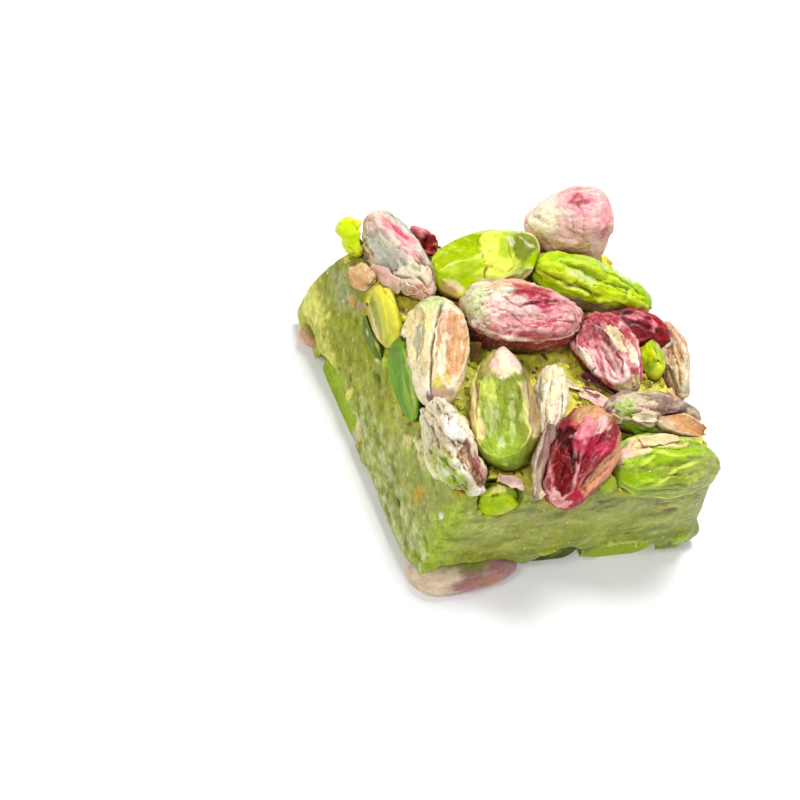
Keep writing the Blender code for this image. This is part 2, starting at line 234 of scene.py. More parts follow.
def wired(
    tree: bpy.types.NodeTree, kind: str, given: dict[str | int, object] | None = None, **settings: object
) -> bpy.types.Node:
    """A new node with its settings made and its inputs fed.

    Args:
        tree: The tree that it goes into.
        kind: The node's type.
        given: A socket or a value for each input.
        settings: The node's own settings.

    Returns:
        The node.
    """
    made = tree.nodes.new(kind)
    for key, value in settings.items():
        setattr(made, key, value)
    return fed(tree, made, given or {})


def maths(tree: bpy.types.NodeTree, kind: str, *values: object) -> bpy.types.NodeSocket:
    """The result of a Math node fed with sockets or numbers."""
    return wired(tree, "ShaderNodeMath", dict(enumerate(values)), operation=kind).outputs[0]


@dataclass(frozen=True)
class Grain:
    """Smooth noise on a lattice of 1 mm cells, the same every run."""

    seed: int

    def lattice(self, cell: np.ndarray) -> np.ndarray:
        """A fixed random number from -1 to 1 for each lattice point.

        Args:
            cell: Whole-number lattice points, one row each.

        Returns:
            One number for each row.
        """
        part = cell.astype(np.int64) & 0xFFFFFFFF
        mixed = part[..., 0] * 0x8DA6B343 ^ part[..., 1] * 0xD8163841 ^ part[..., 2] * 0xCB1AB31F
        mixed = (mixed + self.seed * 0x9E3779B1) & 0xFFFFFFFF
        mixed = ((mixed ^ (mixed >> 15)) * 0x2C1B3C6D) & 0xFFFFFFFF
        mixed = ((mixed ^ (mixed >> 12)) * 0x297A2D39) & 0xFFFFFFFF
        mixed = mixed ^ (mixed >> 15)
        return mixed / 2147483648.0 - 1.0

    def at(self, points: np.ndarray, size: float = 1.0) -> np.ndarray:
        """Smooth noise with lumps of a given size.

        Args:
            points: Points in millimetres, one row each.
            size: The size of a lump.

        Returns:
            One number from -1 to 1 for each point.
        """
        scaled = points / size + 0.37 * self.seed
        base = np.floor(scaled)
        share = scaled - base
        share = share * share * share * (share * (share * 6.0 - 15.0) + 10.0)
        total = np.zeros(len(points))
        for corner in range(8):
            step = np.array([corner & 1, corner >> 1 & 1, corner >> 2 & 1])
            weight = np.prod(np.where(step, share, 1.0 - share), axis=1)
            total += weight * self.lattice(base + step)
        return total

    def layered(self, points: np.ndarray, size: float, layers: int = 3) -> np.ndarray:
        """Noise in layers, each half the size and strength of the one before.

        Args:
            points: Points in millimetres.
            size: The size of the largest lumps.
            layers: How many layers.

        Returns:
            One number, about -1 to 1, for each point.
        """
        total, strength = np.zeros(len(points)), 1.0
        for layer in range(layers):
            total += strength * Grain(self.seed + 17 * layer).at(points, size / 2**layer)
            strength *= 0.5
        return total / 1.4

    def creased(self, points: np.ndarray, size: float, layers: int = 3) -> np.ndarray:
        """Noise with sharp valleys, like crumpled skin.

        Args:
            points: Points in millimetres.
            size: The size of the largest folds.
            layers: How many layers.

        Returns:
            One number from 0 in a valley to 1 for each point.
        """
        total, strength, most = np.zeros(len(points)), 1.0, 0.0
        for layer in range(layers):
            total += strength * np.abs(Grain(self.seed + 31 * layer).at(points, size / 2**layer))
            most += strength * 0.6
            strength *= 0.55
        return np.clip(total / most, 0.0, 1.0)

    def cells(self, points: np.ndarray, size: float) -> tuple[np.ndarray, np.ndarray]:
        """Distances to the two nearest of scattered seeds, as shares of a cell.

        Args:
            points: Points in millimetres.
            size: The size of a cell.

        Returns:
            The nearest distance and the second nearest for each point.
        """
        scaled = points / size
        base = np.floor(scaled)
        near = np.full(len(points), 9.0)
        second = near.copy()
        for step in np.ndindex(3, 3, 3):
            cell = base + np.array(step) - 1
            jitter = np.stack([Grain(self.seed + axis).lattice(cell) for axis in range(3)], axis=1)
            gap = np.linalg.norm(cell + 0.5 + 0.45 * jitter - scaled, axis=1)
            second = np.minimum(second, np.maximum(near, gap))
            near = np.minimum(near, gap)
        return near, second


@dataclass
class Surface:
    """A mesh held as numbers in millimetres while it is shaped and painted."""

    mesh: bpy.types.Mesh
    points: np.ndarray = field(init=False)
    edges: np.ndarray = field(init=False)
    ties: np.ndarray = field(init=False)

    def __post_init__(self) -> None:
        """Reads the mesh's points and edges."""
        self.points = rows_of(self.mesh.vertices, "co", 3).astype(float) / MM
        self.edges = rows_of(self.mesh.edges, "vertices", 2, np.int32)
        self.ties = np.bincount(self.edges.ravel(), minlength=len(self.points)).clip(1)

    def spread(self, values: np.ndarray, times: int = 1) -> np.ndarray:
        """Each point's value averaged over its neighbours.

        Args:
            values: One number or one row for each point.
            times: How often to average.

        Returns:
            The averaged values.
        """
        flat = values.reshape(len(values), -1)
        near, far = self.edges[:, 0], self.edges[:, 1]
        for _ in range(times):
            columns = [
                np.bincount(near, column[far], len(column)) + np.bincount(far, column[near], len(column))
                for column in flat.T
            ]
            flat = 0.5 * flat + 0.5 * np.stack(columns, axis=1) / self.ties[:, None]
        return flat.reshape(values.shape)

    def soften(self, times: int) -> None:
        """Rounds the surface by averaging its points."""
        self.points = self.spread(self.points, times)
        self.store()

    def store(self) -> None:
        """Writes the points back to the mesh, none of them below the floor."""
        self.points[:, 2] = np.maximum(self.points[:, 2], 0.0)
        self.mesh.vertices.foreach_set("co", (self.points * MM).astype(np.float32).ravel())
        self.mesh.update()

    def normals(self) -> np.ndarray:
        """The outward direction at each point."""
        return rows_of(self.mesh.vertex_normals, "vector", 3).astype(float)

    def push(self, heights: np.ndarray) -> None:
        """Moves each point outwards by its height in millimetres."""
        self.points = self.points + self.normals() * heights[:, None]
        self.store()

    def hollows(self, times: int = 4) -> np.ndarray:
        """How deep each point lies in a dent, in millimetres, below zero on a crest.

        Args:
            times: How far round a point the shape is compared.

        Returns:
            One number for each point.
        """
        return np.einsum("ij,ij->i", self.spread(self.points, times) - self.points, self.normals())

    def record(self, colours: np.ndarray, gloss: np.ndarray, own: np.ndarray) -> None:
        """Writes the paint, the gloss and the own coordinates as attributes.

        Args:
            colours: A linear colour for each point.
            gloss: A roughness for each point.
            own: The point's own coordinates in millimetres.
        """
        rows = np.ones((len(colours), 4))
        rows[:, :3] = np.clip(colours, 0.0, 1.0)
        keep(self.mesh, PAINT, rows, "FLOAT_COLOR", "color")
        keep(self.mesh, GLOSS, gloss)
        keep(self.mesh, OWN, own, "FLOAT_VECTOR", "vector")


def mesh_of(made: bpy.types.Object) -> bpy.types.Mesh:
    """The object's mesh with its modifiers applied.

    Args:
        made: An object with modifiers.

    Returns:
        A new mesh.
    """
    graph = bpy.context.evaluated_depsgraph_get()
    return bpy.data.meshes.new_from_object(made.evaluated_get(graph))


def linked(name: str, mesh: bpy.types.Mesh) -> bpy.types.Object:
    """A new object of a mesh, at the origin.

    Args:
        name: The object's name.
        mesh: Its mesh.

    Returns:
        The object, in the scene.
    """
    made = bpy.data.objects.new(name, mesh)
    bpy.context.scene.collection.objects.link(made)
    return made


def remeshed(mesh: bpy.types.Mesh, voxel: float, levels: int) -> bpy.types.Mesh:
    """A mesh subdivided, then rebuilt of even small faces.

    Args:
        mesh: The mesh to rebuild, which is used up.
        voxel: The size of a face, in millimetres.
        levels: How many levels of subdivision come first.

    Returns:
        The rebuilt mesh.
    """
    made = linked("rebuilding", mesh)
    if levels:
        round_off = made.modifiers.new("round", "SUBSURF")
        round_off.levels = round_off.render_levels = levels
    rebuild = made.modifiers.new("rebuild", "REMESH")
    rebuild.mode = "VOXEL"
    rebuild.voxel_size = voxel * MM
    rebuild.use_smooth_shade = True
    fine = mesh_of(made)
    bpy.data.objects.remove(made)
    return fine


def merged_copy(node: str, sharp: float) -> bpy.types.Mesh:
    """A CAD node's mesh with its doubles merged, its faces joined and its sharp edges creased.

    Args:
        node: The CAD node.
        sharp: The angle from which an edge counts as sharp, in degrees.

    Returns:
        The new mesh.
    """
    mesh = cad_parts[node].data.copy()
    mesh.materials.clear()
    shell = bmesh.new()
    shell.from_mesh(mesh)
    bmesh.ops.remove_doubles(shell, verts=shell.verts, dist=1e-6)
    bmesh.ops.join_triangles(
        shell, faces=shell.faces, angle_face_threshold=0.6, angle_shape_threshold=1.2
    )
    crease = shell.edges.layers.float.new("crease_edge")
    for edge in shell.edges:
        if len(edge.link_faces) == 2 and edge.calc_face_angle(0.0) > math.radians(sharp):
            edge[crease] = 0.85
    for layer in list(shell.loops.layers.uv):
        shell.loops.layers.uv.remove(layer)
    shell.to_mesh(mesh)
    shell.free()
    return mesh


@dataclass(frozen=True)
class Patch:
    """An area of colour on a kernel, an oval in shares of its length and degrees round it."""

    tone: Tone
    along: float
    reach: float
    turn: float
    spread: float
    strength: float = 1.0
    ragged: float = 0.3
    lift: float = 0.0
    soft: float = 0.22
    lean: float = 0.0
    gloss: float = -1.0
    rim: Tone | None = None


@dataclass(frozen=True)
class Crease:
    """A line on a kernel between two (along, turn) spots: a dent, or a rib where its depth is below zero."""

    start: tuple[float, float]
    end: tuple[float, float]
    depth: float
    width: float = 0.35
    tone: Tone | None = None
    strength: float = 0.7
    wander: float = 0.35


@dataclass(frozen=True)
class Facet:
    """A flat or hollow face cut into a kernel, square to a direction in its own frame, with a thin rim."""

    turn: float
    depth: float
    tilt: float = 0.0
    tone: Tone | None = None
    rim: Tone | None = None
    hollow: float = 0.0
    strength: float = 0.85
    gloss: float = -1.0
    press: float = 0.92
    lip: float = 0.12

    def outward(self) -> np.ndarray:
        """The direction that the face looks in, one long."""
        turn, tilt = math.radians(self.turn), math.radians(self.tilt)
        return np.array([math.sin(tilt), math.cos(tilt) * math.cos(turn), math.cos(tilt) * math.sin(turn)])


class Knife(Enum):
    """The bar's cut sides, as a point in millimetres and the outward direction."""

    LEFT = ((-19.52, 0.0, 15.6), (-14.7, 0.0, 2.4))
    FRONT = ((0.0, -20.05, 15.6), (0.0, -14.7, 1.8))

    def beyond(self, points: np.ndarray) -> np.ndarray:
        """How far each point lies outside the cut side, in millimetres."""
        place, outward = (np.array(part) for part in self.value)
        return (points - place) @ (outward / np.linalg.norm(outward))

    def outward(self) -> np.ndarray:
        """The side's outward direction, one long."""
        direction = np.array(self.value[1])
        return direction / np.linalg.norm(direction)


@dataclass(frozen=True)
class Finish:
    """How a slot's surface takes the light, and how fine its skin is."""

    slot: Slot
    tone: Tone
    second: Tone
    rough: float
    coat: float
    scatter: float
    scatter_depth: tuple[float, float, float]
    mottle: float
    speck: Tone
    speck_share: float
    fibre: float
    wrinkle: float
    fold: float
    bump: float
    # The tone of the painted highlights on crests, and of the light fibre flecks.
    crest: Tone
    fleck: float
    shine: tuple[float, float, float] = (1.0, 1.0, 1.0)


FINISHES = {
    finish.slot: finish
    for finish in (
        Finish(Slot.NOUGAT, Tone.PASTE, Tone.PASTE_PALE, 0.42, 0.08, 0.2, (1.0, 1.1, 0.35),
               0.3, Tone.PASTE_DEEP, 0.5, 0.1, 0.0, 0.0, 0.7, Tone.PASTE_PALE, 0.3, (1.0, 1.0, 0.5)),
        Finish(Slot.GREEN, Tone.LEAF, Tone.GREEN_PALE, 0.3, 0.1, 0.15, (0.7, 1.0, 0.2),
               0.18, Tone.MINT, 0.15, 0.5, 0.06, 2.4, 0.5, Tone.LIME_PALE, 0.3, (1.0, 1.0, 0.2)),
        Finish(Slot.LIME, Tone.LIME, Tone.LIME_PALE, 0.32, 0.06, 0.15, (0.8, 1.0, 0.15),
               0.12, Tone.LEAF, 0.12, 0.3, 0.04, 2.4, 0.4, Tone.YELLOW, 0.08, (1.0, 1.0, 0.1)),
        Finish(Slot.ROSE, Tone.SALMON, Tone.PINK_PALE, 0.36, 0.2, 0.1, (1.0, 0.45, 0.35),
               0.24, Tone.PINK_PALE, 0.3, 0.9, 0.1, 1.5, 0.7, Tone.WHITE, 0.4, (1.0, 0.75, 0.75)),
        Finish(Slot.RED, Tone.CRIMSON, Tone.WINE, 0.28, 0.15, 0.08, (1.0, 0.25, 0.2),
               0.26, Tone.ROSE, 0.06, 0.7, 0.1, 1.5, 0.6, Tone.ROSE, 0.12, (1.0, 0.4, 0.35)),
        Finish(Slot.TAN, Tone.TAN, Tone.BEIGE, 0.48, 0.05, 0.08, (1.0, 0.6, 0.35),
               0.24, Tone.BROWN, 0.25, 0.9, 0.12, 1.4, 0.8, Tone.IVORY, 0.6),
        Finish(Slot.CREAM, Tone.CREAM, Tone.IVORY, 0.4, 0.12, 0.1, (1.0, 0.8, 0.5),
               0.18, Tone.BROWN_TAN, 0.2, 0.8, 0.1, 1.6, 0.7, Tone.WHITE, 0.6),
        Finish(Slot.GREY, Tone.GREY_BLUE, Tone.GREY_BROWN, 0.38, 0.12, 0.08, (0.9, 0.7, 0.5),
               0.24, Tone.PINK_PALE, 0.3, 0.9, 0.1, 1.5, 0.8, Tone.IVORY, 0.6),
    )
}


@dataclass
class ShaderKit:
    """The shader node groups that the finishes share, and the material of each finish."""

    materials: dict[Slot, bpy.types.Material] = field(default_factory=dict)
    loose: dict[Slot, bpy.types.Material] = field(default_factory=dict)
    mottling: bpy.types.NodeTree | None = None
    fibres: bpy.types.NodeTree | None = None
    fibre_stretch: tuple[float, float, float] = (0.7, 4.0, 4.0)
    bump_reach: float = 0.25
    scatter_reach: float = 0.5

    @staticmethod
    def group(name: str, takes: dict[str, tuple[str, object]], gives: dict[str, str]) -> bpy.types.NodeTree:
        """An empty shader node group with named sockets.

        Args:
            name: The group's name.
            takes: Each input's kind and its standing value.
            gives: Each output's kind.

        Returns:
            The group, with its two end nodes named start and end.
        """
        tree = bpy.data.node_groups.new(name, "ShaderNodeTree")
        for label, (kind, value) in takes.items():
            socket = tree.interface.new_socket(label, in_out="INPUT", socket_type=kind)
            if value is not None:
                socket.default_value = value
        for label, kind in gives.items():
            tree.interface.new_socket(label, in_out="OUTPUT", socket_type=kind)
        tree.nodes.new("NodeGroupInput").name = "start"
        tree.nodes.new("NodeGroupOutput").name = "end"
        return tree

    def build_groups(self) -> None:
        """Builds the mottling and the fibre group, once."""
        grey = (0.5, 0.5, 0.5, 1.0)
        takes = {
            "Paint": ("NodeSocketColor", grey), "Where": ("NodeSocketVector", None),
            "Amount": ("NodeSocketFloat", 0.15), "Speck Tone": ("NodeSocketColor", grey),
            "Speck Share": ("NodeSocketFloat", 0.2),
        }
        tree = self.group("fine_mottling", takes, {"Color": "NodeSocketColor", "Height": "NodeSocketFloat"})
        start, end = tree.nodes["start"].outputs, tree.nodes["end"]
        coarse = wired(tree, "ShaderNodeTexNoise", {
            "Vector": start["Where"], "Scale": 1.6, "Detail": 6.0, "Roughness": 0.65,
        }).outputs["Fac"]
        specks = wired(tree, "ShaderNodeTexNoise", {"Vector": start["Where"], "Scale": 4.2, "Detail": 3.0})
        swing = maths(tree, "MULTIPLY", maths(tree, "SUBTRACT", coarse, 0.5), start["Amount"])
        bright = maths(tree, "MULTIPLY_ADD", swing, 3.0, 1.0)
        shade = wired(tree, "ShaderNodeVectorMath", {0: start["Paint"], "Scale": bright}, operation="SCALE")
        peak = wired(tree, "ShaderNodeMapRange",
                     {"Value": specks.outputs["Fac"], "From Min": 0.58, "From Max": 0.72}).outputs["Result"]
        share = maths(tree, "MULTIPLY", peak, start["Speck Share"])
        blend = wired(tree, "ShaderNodeMix",
                      {"Factor": share, "A": shade.outputs[0], "B": start["Speck Tone"]}, data_type="RGBA")
        height = maths(tree, "MULTIPLY_ADD", peak, 0.35, coarse)
        fed(tree, end, {"Color": blend.outputs["Result"], "Height": height})
        self.mottling = tree

        takes = {"Where": ("NodeSocketVector", None), "Amount": ("NodeSocketFloat", 0.5)}
        tree = self.group("skin_fibres", takes, {"Height": "NodeSocketFloat", "Mask": "NodeSocketFloat"})
        start, end = tree.nodes["start"].outputs, tree.nodes["end"]
        drawn = wired(tree, "ShaderNodeVectorMath", {
            0: start["Where"], 1: self.fibre_stretch,
        }, operation="MULTIPLY")
        lines = wired(tree, "ShaderNodeTexNoise",
                      {"Vector": drawn.outputs[0], "Scale": 1.0, "Detail": 4.0, "Distortion": 0.6})
        fold = maths(tree, "ABSOLUTE", maths(tree, "SUBTRACT", lines.outputs["Fac"], 0.5))
        fed(tree, end, {"Height": maths(tree, "MULTIPLY", fold, start["Amount"]), "Mask": fold})
        self.fibres = tree

    def dress(self, finish: Finish, loose: bool) -> bpy.types.Material:
        """Builds a finish's material, which reads the piece's paint and gloss.

        Args:
            finish: The finish.
            loose: True for crumbs and flakes, whose grain follows Object coordinates, not their own.

        Returns:
            The material.
        """
        material = bpy.data.materials.new(f"{finish.slot.value}_{'loose' if loose else 'look'}")
        material.use_nodes = True
        tree = material.node_tree
        paint, gloss, own = (
            wired(tree, "ShaderNodeAttribute", attribute_name=name).outputs for name in (PAINT, GLOSS, OWN)
        )
        where = own["Vector"]
        if loose:
            spot = wired(tree, "ShaderNodeTexCoord").outputs["Object"]
            grown = wired(tree, "ShaderNodeMapping", {"Vector": spot, "Scale": (1.0 / MM,) * 3})
            where = grown.outputs["Vector"]
        mottle = wired(tree, "ShaderNodeGroup", {
            "Paint": paint["Color"], "Where": where, "Amount": finish.mottle,
            "Speck Tone": (*finish.speck.colour(), 1.0), "Speck Share": finish.speck_share,
        }, node_tree=self.mottling).outputs
        fibre = wired(tree, "ShaderNodeGroup", {
            "Where": where, "Amount": finish.fibre,
        }, node_tree=self.fibres)
        uneven = maths(tree, "MULTIPLY_ADD", mottle["Height"], 0.22, -0.12)
        height = maths(tree, "ADD", mottle["Height"], fibre.outputs["Height"])
        bump = wired(tree, "ShaderNodeBump",
                     {"Height": height, "Strength": finish.bump, "Distance": self.bump_reach * MM})
        fed(tree, tree.nodes["Principled BSDF"], {
            "Base Color": mottle["Color"],
            "Roughness": maths(tree, "ADD", uneven, gloss["Fac"]),
            "Normal": bump.outputs["Normal"],
            "Subsurface Weight": finish.scatter,
            "Subsurface Radius": finish.scatter_depth,
            "Subsurface Scale": self.scatter_reach * MM,
            "Specular IOR Level": 0.28,
            "Specular Tint": (*finish.shine, 1.0),
            "Coat Weight": finish.coat,
            "Coat Roughness": 0.18,
            "IOR": 1.46,
        })
        return material

    def build(self) -> None:
        """Builds the groups and every finish's material."""
        self.build_groups()
        for finish in FINISHES.values():
            self.materials[finish.slot] = self.dress(finish, False)
            self.loose[finish.slot] = self.dress(finish, True)


@dataclass(frozen=True)
class Kernel:
    """A kernel grown from its CAD node. Its own X runs from its blunt end to its tip."""

    node: str
    slot: Slot
    yaw: float
    pitch: float = 0.0
    roll: float = 0.0
    patches: tuple[Patch, ...] = ()
    creases: tuple[Crease, ...] = ()
    tone: Tone | None = None
    second: Tone | None = None
    facets: tuple[Facet, ...] = ()
    chips: int = 5
    wrinkle: float = 1.0
    craggy: float = 1.0
    peel: float = 0.0
    bare: Tone = Tone.IVORY
    coated: float = 0.0
    knife: Knife | None = None
    proud: float = 0.0
    shade: float = 1.0
    voxel: float = KERNEL_VOXEL

    def seed(self) -> int:
        """A number of the kernel's own for its noise."""
        return sum(map(ord, self.node)) % 997

    def axes(self) -> np.ndarray:
        """The kernel's own directions as the columns of a matrix.

        Returns:
            The matrix, which turns the kernel's own places into the part's.
        """
        turn = (
            Matrix.Rotation(math.radians(self.yaw), 3, "Z")
            @ Matrix.Rotation(math.radians(-self.pitch), 3, "Y")
            @ Matrix.Rotation(math.radians(self.roll), 3, "X")
        )
        return np.array(turn)

    def reach(self) -> tuple[np.ndarray, np.ndarray]:
        """The middle and the half sizes of the CAD node in the kernel's own frame.

        Returns:
            The middle and the half sizes, in millimetres.
        """
        own = rows_of(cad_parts[self.node].data.vertices, "co", 3).astype(float) / MM @ self.axes()
        low, high = own.min(0), own.max(0)
        return (low + high) / 2.0, (high - low) / 2.0

    def grown(self) -> Surface:
        """The node's mesh rounded and remeshed, at the CAD node's size.

        Returns:
            The fine surface, not yet wrinkled.
        """
        surface = Surface(remeshed(merged_copy(self.node, 38.0), self.voxel, 2))
        surface.soften(2)
        axes = self.axes()
        middle, half = self.reach()
        own = surface.points @ axes
        low, high = own.min(0), own.max(0)
        own = (own - (low + high) / 2.0) * (half / ((high - low) / 2.0)) + middle
        surface.points = own @ axes.T
        surface.store()
        return surface

    def marks(self, surface: Surface) -> tuple[np.ndarray, np.ndarray, np.ndarray]:
        """Each point's own coordinates, its share along the kernel and its turn round it.

        Args:
            surface: The kernel's surface.

        Returns:
            Own coordinates in millimetres, shares from -1 to 1, and degrees.
        """
        middle, half = self.reach()
        own = surface.points @ self.axes() - middle
        share = own / half
        return own, share[:, 0], np.degrees(np.arctan2(share[:, 2], share[:, 1])) % 360.0

    def patch_mask(self, patch: Patch, own: np.ndarray, along: np.ndarray, turn: np.ndarray) -> np.ndarray:
        """How far each point lies from a patch's middle: 1 on its ragged edge.

        Args:
            patch: The patch.
            own: Own coordinates.
            along: Shares along the kernel.
            turn: Degrees round it.

        Returns:
            One distance for each point.
        """
        centre = patch.turn + patch.lean * (along - patch.along)
        gap = np.hypot((along - patch.along) / patch.reach, turned_from(turn, centre) / patch.spread)
        salt = self.seed() + int(100 * patch.along + patch.turn)
        _, half = self.reach()
        least = min(patch.reach * half[0], math.radians(patch.spread) * (half[1] + half[2]) / 2.0)
        torn = patch.ragged + 0.5 * (1.0 - eased(0.6, 2.4, np.array(least)))
        size = min(max(1.1 * least, 0.8), 1.8)
        return gap + torn * Grain(salt).layered(drawn_out(own, 0.5), size, 4)

    def crease_mask(self, crease: Crease, own: np.ndarray, along: np.ndarray, turn: np.ndarray) -> np.ndarray:
        """How strongly a crease shows at each point.

        Args:
            crease: The crease.
            own: Own coordinates.
            along: Shares along the kernel.
            turn: Degrees round it.

        Returns:
            One number from 0 to 1 for each point.
        """
        _, half = self.reach()
        girth = (half[1] + half[2]) / 2.0
        middle = (crease.start[1] + crease.end[1]) / 2.0
        spot = np.stack([along * half[0], np.radians(turned_from(turn, middle)) * girth], axis=1)
        salt = self.seed() + int(crease.start[1] + 40 * crease.end[0])
        for axis in range(2):
            spot[:, axis] += crease.wander * Grain(salt + axis).layered(own, 2.2, 3)
        head = np.array([crease.start[0] * half[0], np.radians(crease.start[1] - middle) * girth])
        tail = np.array([crease.end[0] * half[0], np.radians(crease.end[1] - middle) * girth])
        run = tail - head
        share = np.clip((spot - head) @ run / (run @ run), 0.0, 1.0)
        gap = np.linalg.norm(spot - head - share[:, None] * run, axis=1)
        fade = 1.0 - 0.7 * np.abs(2.0 * share - 1.0) ** 3
        return np.exp(-((gap / crease.width) ** 2)) * fade

    def chipped(self) -> tuple[Facet, ...]:
        """The plain faces that keep the kernel from being an egg, the same every run.

        Returns:
            The faces.
        """
        draw = np.random.default_rng(self.seed())
        turns = np.linspace(0.0, 360.0, self.chips, endpoint=False) + draw.uniform(-25.0, 25.0, self.chips)
        return tuple(
            Facet(turn, draw.uniform(0.2, 0.5), draw.uniform(-35.0, 35.0), press=0.8, lip=0.0)
            for turn in turns
        )

    def flatten(self, surface: Surface, own: np.ndarray) -> list[np.ndarray]:
        """Cuts the kernel's facets into it.

        Args:
            surface: The kernel's fine surface.
            own: Own coordinates.

        Returns:
            For each facet with a tone or a rim, how deep inside its cut each point lies, in millimetres.
        """
        _, half = self.reach()
        pressed, found = own.copy(), []
        for facet in self.chipped() + self.facets:
            outward = facet.outward()
            limit = np.linalg.norm(half * outward) - facet.depth
            salt = self.seed() + int(facet.turn + 3 * facet.tilt)
            over = pressed @ outward - limit + 0.2 * Grain(salt).layered(own, 1.8, 3)
            inside = np.maximum(over, 0.0)
            sunk = facet.press * inside + facet.hollow * eased(0.0, max(facet.depth, 0.3), over)
            torn = 0.3 + 0.9 * np.clip(Grain(salt + 1).at(own, 1.5), 0.0, 1.0)
            sunk -= facet.lip * torn * np.exp(-(((over - 0.02) / 0.12) ** 2))
            pressed -= sunk[:, None] * outward
            if facet.tone or facet.rim:
                found.append(over)
        surface.points += (pressed - own) @ self.axes().T
        surface.store()
        return found

    def skin_left(self, own: np.ndarray) -> np.ndarray:
        """Where the papery skin is still on the kernel: 1 on it, 0 where it has peeled off.

        Args:
            own: The points in the kernel's own frame.

        Returns:
            The mask.
        """
        if not self.peel:
            return np.zeros(len(own))
        field_of = Grain(self.seed() + 13).layered(drawn_out(own, 0.5), 3.0, 4)
        return eased(-0.05, 0.05, field_of + 0.6 * self.peel - 0.6)

    def shape(self, surface: Surface) -> list[np.ndarray]:
        """Cuts the facets, wrinkles the surface and presses its patches and creases into it.

        Args:
            surface: The kernel's fine surface.

        Returns:
            How deep inside each toned facet each point lies.
        """
        finish = FINISHES[self.slot]
        own, along, turn = self.marks(surface)
        seed = self.seed()
        cuts = self.flatten(surface, own)
        height = 0.22 * self.craggy * Grain(seed).layered(drawn_out(own, 0.6), 3.6, 3)
        crags = Grain(seed + 2).creased(drawn_out(own, 0.45), 4.6, 2)
        height += 0.6 * self.craggy * (crags - 0.5)
        folds = Grain(seed + 5).creased(drawn_out(own, 0.38), finish.fold, 4)
        height += self.wrinkle * finish.wrinkle * 3.2 * (folds - 0.4)
        height += 0.09 * self.wrinkle * Grain(seed + 6).layered(drawn_out(own, 0.5, 1.2), 0.9, 2)
        height += 0.12 * self.skin_left(own)
        for patch in self.patches:
            if patch.lift:
                gap = self.patch_mask(patch, own, along, turn)
                height += patch.lift * (1.0 - eased(0.86, 1.06, gap))
        for crease in self.creases:
            height -= crease.depth * self.crease_mask(crease, own, along, turn)
        if self.knife:
            height *= eased(0.1, 1.2, self.proud - self.knife.beyond(surface.points))
        surface.push(height)
        if self.knife:
            over = np.maximum(self.knife.beyond(surface.points) - self.proud, 0.0)
            surface.points -= over[:, None] * self.knife.outward()
            surface.store()
        return cuts

    def paint(self, surface: Surface, cuts: list[np.ndarray], contact: np.ndarray) -> None:
        """Paints the surface: tones, facets, patches, creases, painted highlights on crests, and painted
        shade in dents, where held and low in the paste.

        Args:
            surface: The kernel's shaped surface.
            cuts: How deep inside each toned facet each point lies.
            contact: How near its neighbours each point lies, 1 where it touches.
        """
        finish = FINISHES[self.slot]
        own, along, turn = self.marks(surface)
        seed = self.seed()
        first = (self.tone or finish.tone).colour()
        second = (self.second or finish.second).colour()
        share = eased(-0.15, 0.75, Grain(seed + 3).layered(drawn_out(own, 0.3), 2.0, 4))[:, None]
        colours = first * (1.0 - share) + second * share
        gloss = np.full(len(own), finish.rough)
        if self.peel:
            skin = self.skin_left(own)[:, None]
            colours = self.bare.colour() + skin * (colours - self.bare.colour())
        toned = [facet for facet in self.facets if facet.tone or facet.rim]
        for facet, over in zip(toned, cuts):
            if facet.tone:
                mask = facet.strength * eased(0.0, 0.12, over)
                colours = blended(colours, facet.tone.colour(), mask)
                if facet.gloss >= 0.0:
                    gloss += mask * (facet.gloss - gloss)
        for patch in self.patches:
            gap = self.patch_mask(patch, own, along, turn)
            mask = patch.strength * (1.0 - eased(1.0 - patch.soft, 1.0 + patch.soft, gap))
            colours = blended(colours, patch.tone.colour(), mask)
            if patch.gloss >= 0.0:
                gloss += mask * (patch.gloss - gloss)
            if patch.rim:
                edge = np.exp(-(((gap - 1.0) / 0.16) ** 2)) * 0.85
                colours = blended(colours, patch.rim.colour(), edge)
        for crease in self.creases:
            if crease.tone:
                mask = crease.strength * self.crease_mask(crease, own, along, turn)
                colours = blended(colours, crease.tone.colour(), mask)
        for facet, over in zip(toned, cuts):
            if facet.rim:
                broken = 0.25 + 1.5 * Grain(seed + 61).layered(own, 1.6, 2)
                mask = 0.85 * np.clip(broken, 0.0, 1.0) * np.exp(-(((over - 0.03) / 0.1) ** 2))
                colours = blended(colours, facet.rim.colour(), mask)
        # Painted shade in dents and painted highlights on crests, at two sizes, weaker on coated kernels.
        strength = 0.3 if self.coated else 1.0
        for span, strong in ((3, strength), (9, 0.7 * strength)):
            depth = surface.hollows(span) / math.sqrt(span / 3.0)
            dent = strong * eased(0.008, 0.05, depth)
            crest = strong * (eased(0.006, 0.045, -depth) * np.clip(2.4 * colours.mean(1), 0.15, 1.0))
            colours = darkened(colours, 0.62 * dent, DENT_SHADE_TINT)
            colours = blended(colours, finish.crest.colour(), 0.34 * crest)
        flecks = Grain(seed + 23).layered(drawn_out(own, 0.5, 1.4), 0.8, 3)
        light = finish.fleck * (eased(0.3, 0.6, flecks) * np.clip(2.4 * colours.mean(1), 0.15, 1.0))
        colours = blended(colours, finish.crest.colour(), 0.6 * light)
        colours = darkened(colours, 0.45 * finish.fleck * eased(0.3, 0.65, -flecks), FLECK_TINT)
        streak = Grain(seed + 21).layered(drawn_out(own, 0.35), 0.8, 3)
        colours *= (1.0 + 0.16 * streak)[:, None]
